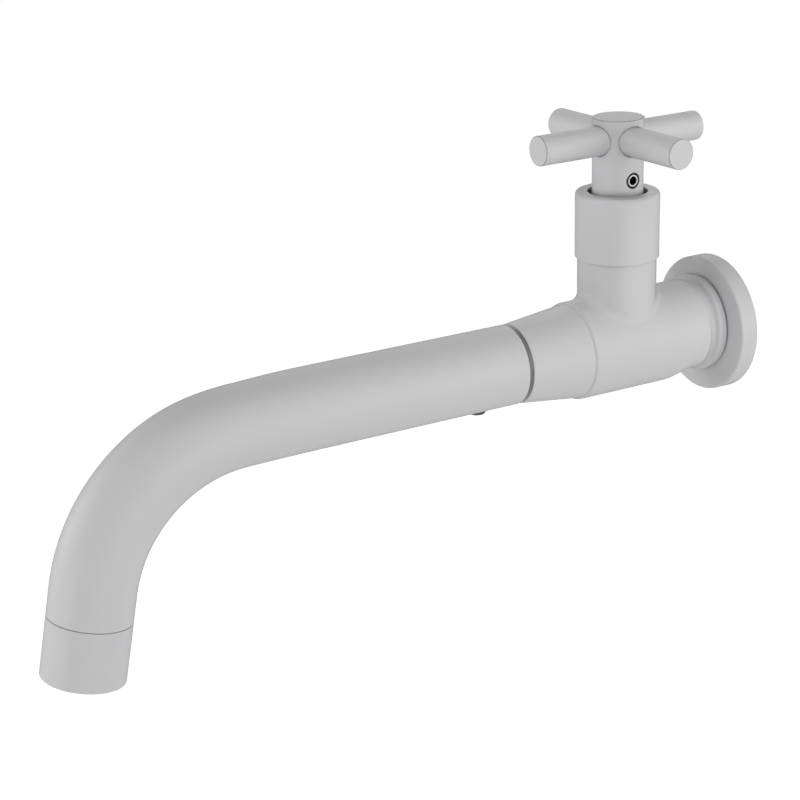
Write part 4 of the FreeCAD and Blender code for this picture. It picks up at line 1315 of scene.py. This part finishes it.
@dataclass
class Sleeve:
    """The wide cap over the headwork, open round the handle's hub."""

    top_round: float = 1.3 * MM
    mouth_radius: float = 10.45 * MM
    mouth_round: float = 0.25 * MM
    wall: float = 2.0 * MM
    lid: float = 1.0 * MM
    foot_round: float = 0.25 * MM
    columns: int = 160

    def build(self) -> None:
        """Make the sleeve."""
        low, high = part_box("headwork_sleeve")
        inner = high.x - self.wall
        Skin().turn(upright(middle_of("headwork_sleeve").y), [
            Corner(inner, low.z, self.foot_round),
            Corner(high.x, low.z, self.foot_round),
            Corner(high.x, high.z, self.top_round),
            Corner(self.mouth_radius, high.z, self.mouth_round),
            Corner(self.mouth_radius, high.z - self.lid, self.mouth_round),
            Corner(inner, high.z - self.lid),
        ], self.columns).build("bonnet_sleeve", Slot.COAT, Body.VALVE, "headwork_sleeve")


@dataclass
class CrossHandle:
    """The hub with its four spokes and the grub screw that holds it on the spindle."""

    rest_turn: float = math.radians(1.55)
    hub_top_round: float = 0.3 * MM
    hub_foot_round: float = 0.3 * MM
    hub_bore: float = 4.6 * MM
    hub_bore_height: float = 10.0 * MM
    seam: float = 0.2 * MM
    seat_lead: float = 0.08 * MM
    seat_floor: float = 7.15 * MM
    spoke_reach: float = 33.9 * MM
    spoke_start: float = 7.2 * MM
    spoke_round: float = 0.3 * MM
    spoke_foot: float = 0.1 * MM
    spoke_columns: int = 96
    spigot_start: float = 3.6 * MM
    spigot_radius: float = 2.5 * MM
    grub_start: float = 4.05 * MM
    grub_end: float = 8.6 * MM
    grub_gap: float = 0.32 * MM
    grub_lead: float = 0.1 * MM
    grub_floor: float = 4.3 * MM
    grub_chamfer: float = 0.45 * MM
    grub_flats: float = 2.5 * MM
    grub_socket: float = 2.0 * MM
    grub_columns: int = 72
    sector_columns: int = 28
    sector_rows: int = 24
    rings: int = 12

    def build(self) -> None:
        """Make the hub, the spokes and the screw."""
        self.hub()
        for index, node in enumerate(("spoke_right", "spoke_rear", "spoke_left", "spoke_front")):
            self.spoke(node, index * QUARTER_TURN)
        self.grub_screw()

    def level_seat(self, height: float, heading: float) -> Seat:
        """Give a level axis that leads away from the hub's.

        Args:
            height: The axis's height.
            heading: Its angle from the grub screw's, anticlockwise from above.

        Returns:
            The axis, with angles from +Z.
        """
        angle = self.rest_turn + heading
        origin = (0.0, middle_of("handle_hub").y, height)
        return Seat(origin, (math.cos(angle), math.sin(angle), 0.0), (0.0, 0.0, 1.0))

    def hub(self) -> None:
        """Make the hub, pierced for its spokes and its screw."""
        seat = upright(middle_of("handle_hub").y)
        lowest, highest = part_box("handle_hub")
        radius, low, high = highest.x, lowest.z, highest.z
        foot = low + self.hub_foot_round
        grub_height = middle_of("handle_grub_screw").z
        band_low = 2 * grub_height - foot
        eighth = QUARTER_TURN / 2
        skin = Skin()
        for index in range(4):
            window = Window(seat, radius, self.rest_turn + index * QUARTER_TURN, eighth, band_low,
                            high - self.hub_top_round, middle_of("spoke_right").z,
                            half_height("spoke_right") + self.seam, self.sector_columns, self.sector_rows,
                            self.rings)
            window.bore(skin, self.seat_lead, self.seat_floor)
        screw = Window(seat, radius, self.rest_turn, eighth, foot, band_low, grub_height,
                       half_height("handle_grub_screw") + self.grub_gap, self.sector_columns,
                       self.sector_rows, self.rings)
        screw.bore(skin, self.grub_lead, self.grub_floor)
        ring = even_angles(4 * self.sector_columns, self.rest_turn - eighth)
        plain = np.append(ring[self.sector_columns:], ring[0] + 2 * math.pi)
        angles, places = np.meshgrid(plain, np.linspace(foot, band_low, self.sector_rows + 1))
        skin.add_grid(seat.at(radius, places, angles), seat.turned(1.0, 0.0, angles))
        skin.turn(seat, [
            Corner(self.hub_bore, low, self.hub_foot_round),
            Corner(radius, low, self.hub_foot_round, skip=True),
            # The hub's top edge gets painted shade, a dark outline in the coat's colour.
            Corner(radius, high, self.hub_top_round, shade_line=True),
            Corner(0.0, high, skip=True),
            Corner(0.0, low + self.hub_bore_height),
            Corner(self.hub_bore, low + self.hub_bore_height),
        ], ring)
        skin.build("hub", Slot.COAT, Body.HANDLE, "handle_hub")

    def spoke(self, node: str, heading: float) -> None:
        """Make one spoke with its spigot and a softly rounded end.

        Args:
            node: The frame's spoke.
            heading: Its angle from the grub screw's, anticlockwise from above.
        """
        radius = half_height(node)
        Skin().turn(self.level_seat(middle_of(node).z, heading), [
            Corner(0.0, self.spigot_start),
            Corner(self.spigot_radius, self.spigot_start),
            Corner(self.spigot_radius, self.spoke_start),
            Corner(radius, self.spoke_start, self.spoke_foot),
            # The spoke's end edge gets painted shade, a dark outline in the coat's colour.
            Corner(radius, self.spoke_reach, self.spoke_round, shade_line=True),
            Corner(0.0, self.spoke_reach),
        ], self.spoke_columns).build(node + "_bar", Slot.COAT, Body.HANDLE, node)

    def grub_screw(self) -> None:
        """Make the grub screw with its hexagon socket."""
        radius = half_height("handle_grub_screw")
        rim = radius - self.grub_chamfer
        seat = self.level_seat(middle_of("handle_grub_screw").z, 0.0)
        angles = even_angles(self.grub_columns)
        skin = Skin().turn(seat, [
            Corner(0.0, self.grub_start),
            Corner(rim, self.grub_start),
            Corner(radius, self.grub_start + self.grub_chamfer),
            Corner(radius, self.grub_end - self.grub_chamfer),
            Corner(rim, self.grub_end, skip=True),
            Corner(0.0, self.grub_end, skip=True),
        ], angles)
        skin.socket(seat.moved(self.grub_end), self.grub_flats, self.grub_socket, rim, angles)
        skin.build("grub_screw", Slot.DARK_STEEL, Body.HANDLE, "handle_grub_screw")


@dataclass
class Spout:
    """The bent tube, the screw under it and what closes its end."""

    wall: float = 1.5 * MM
    start_round: float = 0.3 * MM
    rim_round: float = 0.22 * MM
    straight: float = 102.6 * MM
    bend_radius: float = 55.7 * MM
    bend_angle: float = math.radians(78.5)
    outlet_straight: float = 9.35 * MM
    outer_flattening: float = 0.032
    inner_flattening: float = 0.012
    early_drop: float = 0.42 * MM
    start_length: float = 14.0 * MM
    station: float = 1.6 * MM
    tube_crease: float = math.radians(40)
    head_height: float = 1.5 * MM
    head_dome: float = 0.7 * MM
    screw_shank: float = 2.0 * MM
    screw_flats: float = 2.5 * MM
    screw_socket: float = 0.9 * MM
    screw_rim: float = 2.1 * MM
    screw_columns: int = 72
    seam: float = 0.22 * MM
    seam_round: float = 0.2 * MM
    end_round: float = 0.65 * MM
    mouth_radius: float = 9.9 * MM
    mouth_round: float = 0.4 * MM
    aerator_length: float = 20.6 * MM
    aerator_bore: float = 11.05 * MM
    lip: float = 1.5 * MM
    insert_radius: float = 10.9 * MM
    insert_start: float = 10.8 * MM
    insert_crease: float = math.radians(30)
    cell_pitch: float = 2.75 * MM
    cell_wall: float = 0.45 * MM
    cell_rings: int = 3
    columns: int = 144

    def outlet_seat(self) -> Seat:
        """Give the axis of the outlet, from the tube's end downwards.

        Returns:
            The axis, with angles from +X.
        """
        start = -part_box("spout_tube")[1].y
        sine, cosine = math.sin(self.bend_angle), math.cos(self.bend_angle)
        depth = start + self.straight + self.bend_radius * sine + self.outlet_straight * cosine
        drop = self.bend_radius * (1 - cosine) + self.outlet_straight * sine
        return Seat((0.0, -depth, -drop), (0.0, -cosine, -sine), (1.0, 0.0, 0.0))

    def build(self) -> None:
        """Make the tube, its screw, the aerator's sleeve and its insert."""
        self.tube()
        self.screw()
        self.aerator()
        self.insert()

    def tube(self) -> None:
        """Turn a straight tube and bend it."""
        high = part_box("spout_tube")[1]
        radius, start, inner = high.x, -high.y, high.x - self.wall
        length = self.straight + self.bend_radius * self.bend_angle + self.outlet_straight
        margin = self.start_round * 2
        places = np.linspace(margin, length - margin, math.ceil(length / self.station))
        straight = Skin().turn(WALL_SEAT.moved(start), [
            Corner(inner, 0.0, self.rim_round),
            Corner(radius, 0.0, self.start_round),
            *(Corner(radius, place) for place in places),
            Corner(radius, length, self.rim_round),
            Corner(inner, length, self.rim_round),
            *(Corner(inner, place) for place in places[::-1]),
        ], self.columns)
        piece = grown("bent_tube", Slot.COAT, bend_tree, {
            "Start": start, "Straight": self.straight, "Bend Radius": self.bend_radius,
            "Bend Angle": self.bend_angle, "Outer Flattening": self.outer_flattening,
            "Inner Flattening": self.inner_flattening, "Early Drop": self.early_drop,
            "Start Length": self.start_length}, self.tube_crease,
            straight.mesh("straight_tube", with_normals=False))
        dress(piece, Slot.COAT, Body.SPOUT, "spout_tube")

    def screw(self) -> None:
        """Make the screw under the tube, with a domed head and a hexagon socket."""
        low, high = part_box("retaining_screw")
        seat = replace(upright(middle_of("retaining_screw").y), along=(0.0, 0.0, -1.0))
        top = -low.z
        foot = top - self.head_height
        angles = even_angles(self.screw_columns)
        skin = Skin().turn(seat, [
            Corner(0.0, -high.z),
            Corner(self.screw_shank, -high.z),
            Corner(self.screw_shank, foot),
            Corner(high.x, foot),
            Corner(high.x, top, self.head_dome),
            Corner(self.screw_rim, top, skip=True),
            Corner(0.0, top, skip=True),
        ], angles)
        skin.socket(seat.moved(top), self.screw_flats, self.screw_socket, self.screw_rim, angles)
        skin.build("stop_screw", Slot.DARK_STEEL, Body.SPOUT, "retaining_screw")

    def aerator(self) -> None:
        """Make the sleeve at the spout's end."""
        radius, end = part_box("aerator_housing")[1].x, self.aerator_length
        Skin().turn(self.outlet_seat(), [
            Corner(self.aerator_bore, self.seam),
            Corner(radius, self.seam, self.seam_round),
            Corner(radius, end, self.end_round),
            Corner(self.mouth_radius, end, self.mouth_round),
            Corner(self.mouth_radius, end - self.lip),
            Corner(self.aerator_bore, end - self.lip),
        ], self.columns).build("aerator_sleeve", Slot.COAT, Body.SPOUT, "aerator_housing")

    def insert(self) -> None:
        """Make the flow insert and lay it in the sleeve."""
        height = self.aerator_length - self.lip - self.insert_start
        piece = grown("flow_insert", Slot.PLASTIC, honeycomb_tree, {
            "Radius": self.insert_radius, "Height": height, "Pitch": self.cell_pitch,
            "Wall": self.cell_wall, "Rings": self.cell_rings}, self.insert_crease)
        seat = self.outlet_seat().moved(self.insert_start)
        turn = Matrix(seat.axes()).transposed().to_4x4()
        piece.data.transform(Matrix.Translation(Vector(seat.origin)) @ turn)
        dress(piece, Slot.PLASTIC, Body.SPOUT, "aerator_insert")


@dataclass
class InnerWorks:
    """The pieces that hardly show: they keep the frame's own shapes and get their finishes."""

    def build(self) -> None:
        """Give each remaining node its material."""
        slots = {row["node"]: Slot(row["material_slot"]) for row in frame["record"]["subparts"]}
        for name, node in frame["nodes"].items():
            if not node.hide_render:
                node.data.materials.clear()
                node.data.materials.append(MATERIALS[slots[name]])
                LOG.info("%s keeps the frame's shape, in %s", name, slots[name].value)


# Scene


# Centre of the grub screw's face, round which the painted highlight ring lies.
GRUB_FACE = (CrossHandle.grub_end, -44.22 * MM, middle_of("handle_grub_screw").z)

FINISHES: dict[Slot, Finish] = {
    # The coat's colour carries painted shade at a slant and on marked edges.
    Slot.COAT: PaintedShadeCoat("matt_grey_coat", (0.600, 0.600, 0.610), 0.50, specular=0.3, grain=0.35 * MM,
                           tint_spread=0.05, roughness_spread=0.12, relief=0.006 * MM),
    Slot.BRASS: TurnedFinish("turned_brass", (0.72, 0.55, 0.28), 0.28, metallic=1.0,
                             turn=(-QUARTER_TURN, 0.0, 0.0), tint_spread=0.12, relief=0.003 * MM),
    Slot.RUBBER: Finish("black_rubber", (0.022, 0.022, 0.023), 0.75, specular=0.3, grain=0.5 * MM,
                        tint_spread=0.5, relief=0.02 * MM, sheen=0.15),
    Slot.ACETAL: Finish("grey_acetal", (0.12, 0.12, 0.122), 0.45, grain=0.3 * MM, tint_spread=0.2,
                        subsurface=0.02),
    Slot.CERAMIC: Finish("white_ceramic", (0.86, 0.85, 0.80), 0.18, grain=0.2 * MM, tint_spread=0.04,
                         relief=0.001 * MM),
    Slot.STEEL: TurnedFinish("bright_steel", (0.62, 0.62, 0.61), 0.22, metallic=1.0, grain=0.08 * MM,
                             centre=(0.0, middle_of("handle_hub").y, 0.0), tint_spread=0.12,
                             relief=0.002 * MM),
    # The dark steel gets a painted highlight ring on the grub screw's face.
    Slot.DARK_STEEL: SocketHighlightFinish("blackened_steel", (0.05, 0.05, 0.052), 0.24, metallic=1.0,
                                grain=0.12 * MM, tint_spread=0.4, relief=0.003 * MM, ring_centre=GRUB_FACE),
    Slot.PLASTIC: Finish("moulded_plastic", (0.66, 0.66, 0.64), 0.42, grain=0.25 * MM, tint_spread=0.05,
                         relief=0.003 * MM, subsurface=0.05),
}


@dataclass(frozen=True)
class Softbox:
    """A square area lamp that faces a point of the object."""

    name: str
    place: tuple[float, float, float]
    size: float
    power: float
    target: tuple[float, float, float] = (0.0, -0.15, 0.0)

    def build(self) -> None:
        """Make the lamp."""
        lamp = bpy.data.lights.new(self.name, "AREA")
        lamp.shape, lamp.size, lamp.energy = "SQUARE", self.size, self.power
        holder = placed(self.name, lamp)
        way = Vector(self.target) - Vector(self.place)
        holder.location = self.place
        holder.rotation_euler = way.to_track_quat("-Z", "Y").to_euler()


@dataclass
class Studio:
    """Camera, lamps, floor and white surroundings."""

    azimuth: float = math.radians(60.21)
    elevation: float = math.radians(19.70)
    roll: float = math.radians(-1.63)
    focal_pixels: float = 1946.94
    frame_pixels: float = 800.0
    sensor: float = 36.0
    clip_start: float = 0.01
    camera_place: tuple[float, float, float] = (534.95 * MM, -440.13 * MM, 216.54 * MM)
    floor_drop: float = 0.95
    floor_size: float = 14.0
    floor_colour: tuple[float, float, float] = (0.85, 0.85, 0.85)
    floor_roughness: float = 0.9
    floor_glow: float = 0.92
    floor_bounce: float = 0.27
    far_glow: float = 0.10
    far_distance: float = 2.0
    lamps: tuple[Softbox, ...] = (
        Softbox("wall_side", (1.0, 0.7, 0.25), 0.8, 7.1, (0.0, -0.05, 0.0)),
        Softbox("wall_side_high", (0.9, 0.1, 1.1), 0.8, 5.2),
        Softbox("front_left", (-0.8, -1.2, 0.3), 0.8, 7.6),
        Softbox("front_high", (0.3, -1.0, 1.1), 0.8, 4.2),
        Softbox("back_left", (-1.1, 0.6, 0.7), 0.8, 3.2),
        Softbox("low_side", (1.1, 0.1, -0.15), 0.5, 2.8, (0.0, -0.05, 0.0)),
        Softbox("low_front", (0.1, -1.3, -0.15), 0.5, 4.2),
    )

    def build(self) -> None:
        """Make the whole studio."""
        self.camera()
        self.world()
        self.floor()
        for lamp in self.lamps:
            lamp.build()
        bpy.context.scene.view_settings.view_transform = "Standard"

    def camera(self) -> None:
        """Make the camera at the photograph's place, with its roll and field of view."""
        back = Vector((math.sin(self.azimuth) * math.cos(self.elevation),
                       -math.cos(self.azimuth) * math.cos(self.elevation), math.sin(self.elevation)))
        right = Vector((math.cos(self.azimuth), math.sin(self.azimuth), 0.0))
        upward = back.cross(right)
        cosine, sine = math.cos(self.roll), math.sin(self.roll)
        camera = bpy.data.cameras.new("camera")
        camera.sensor_width = self.sensor
        camera.lens = self.focal_pixels / self.frame_pixels * self.sensor
        camera.clip_start = self.clip_start
        holder = placed("camera", camera)
        rolled = (right * cosine + upward * sine, upward * cosine - right * sine, back)
        holder.matrix_world = Matrix.Translation(self.camera_place) @ Matrix(rolled).transposed().to_4x4()
        bpy.context.scene.camera = holder

    def seen_directly(self, graph: Graph) -> Term:
        """Give 1 where a ray comes from the camera, a reflection or a clear material, else 0."""
        path = graph.terms(graph.add("ShaderNodeLightPath"))
        return path["Is Camera Ray"].most(path["Is Glossy Ray"].most(path["Is Transmission Ray"]))

    def world(self) -> None:
        """Make surroundings that look white and give no light."""
        world = bpy.data.worlds.new("surroundings")
        bpy.context.scene.world = world
        graph = nodes_of(world)
        graph.feed(graph.tree.nodes["Background"], {"Color": (1.0, 1.0, 1.0, 1.0),
                                                    "Strength": self.seen_directly(graph)})

    def floor(self) -> None:
        """Make a pale floor below the faucet, white to the eye and darker in the shadow.

        It also returns an even, soft light upwards, as a large pale floor does.
        """
        height, half = CAD_BOX[0].z - self.floor_drop, self.floor_size / 2
        mesh = bpy.data.meshes.new("floor")
        mesh.from_pydata([(-half, -half, height), (half, -half, height), (half, half, height),
                          (-half, half, height)], [], [(0, 1, 2, 3)])
        material = bpy.data.materials.new("pale_floor")
        graph = nodes_of(material)
        away = graph.result("ShaderNodeVectorMath", "Value", {0: graph.object_place()}, operation="LENGTH")
        far = (away / self.far_distance).least(1.0)
        seen = far * self.far_glow + (self.floor_glow - self.floor_bounce)
        graph.feed(graph.tree.nodes["Principled BSDF"], {
            "Base Color": (*self.floor_colour, 1.0), "Roughness": self.floor_roughness,
            "Emission Color": (1.0, 1.0, 1.0, 1.0),
            "Emission Strength": self.seen_directly(graph) * seen + self.floor_bounce})
        mesh.materials.append(material)
        floor = placed("floor", mesh)


def main() -> None:
    """Build the studio and every sub-assembly in order."""
    logging.basicConfig(level=logging.INFO, format="%(name)s: %(message)s")
    for slot, finish in FINISHES.items():
        MATERIALS[slot] = finish.build()
    Studio().build()
    for part in (WallSide(), Casting(), SwivelRing(), Sleeve(), CrossHandle(), Spout(), InnerWorks()):
        part.build()
        LOG.info("%s done", type(part).__name__)


if __name__ == "__main__":
    main()
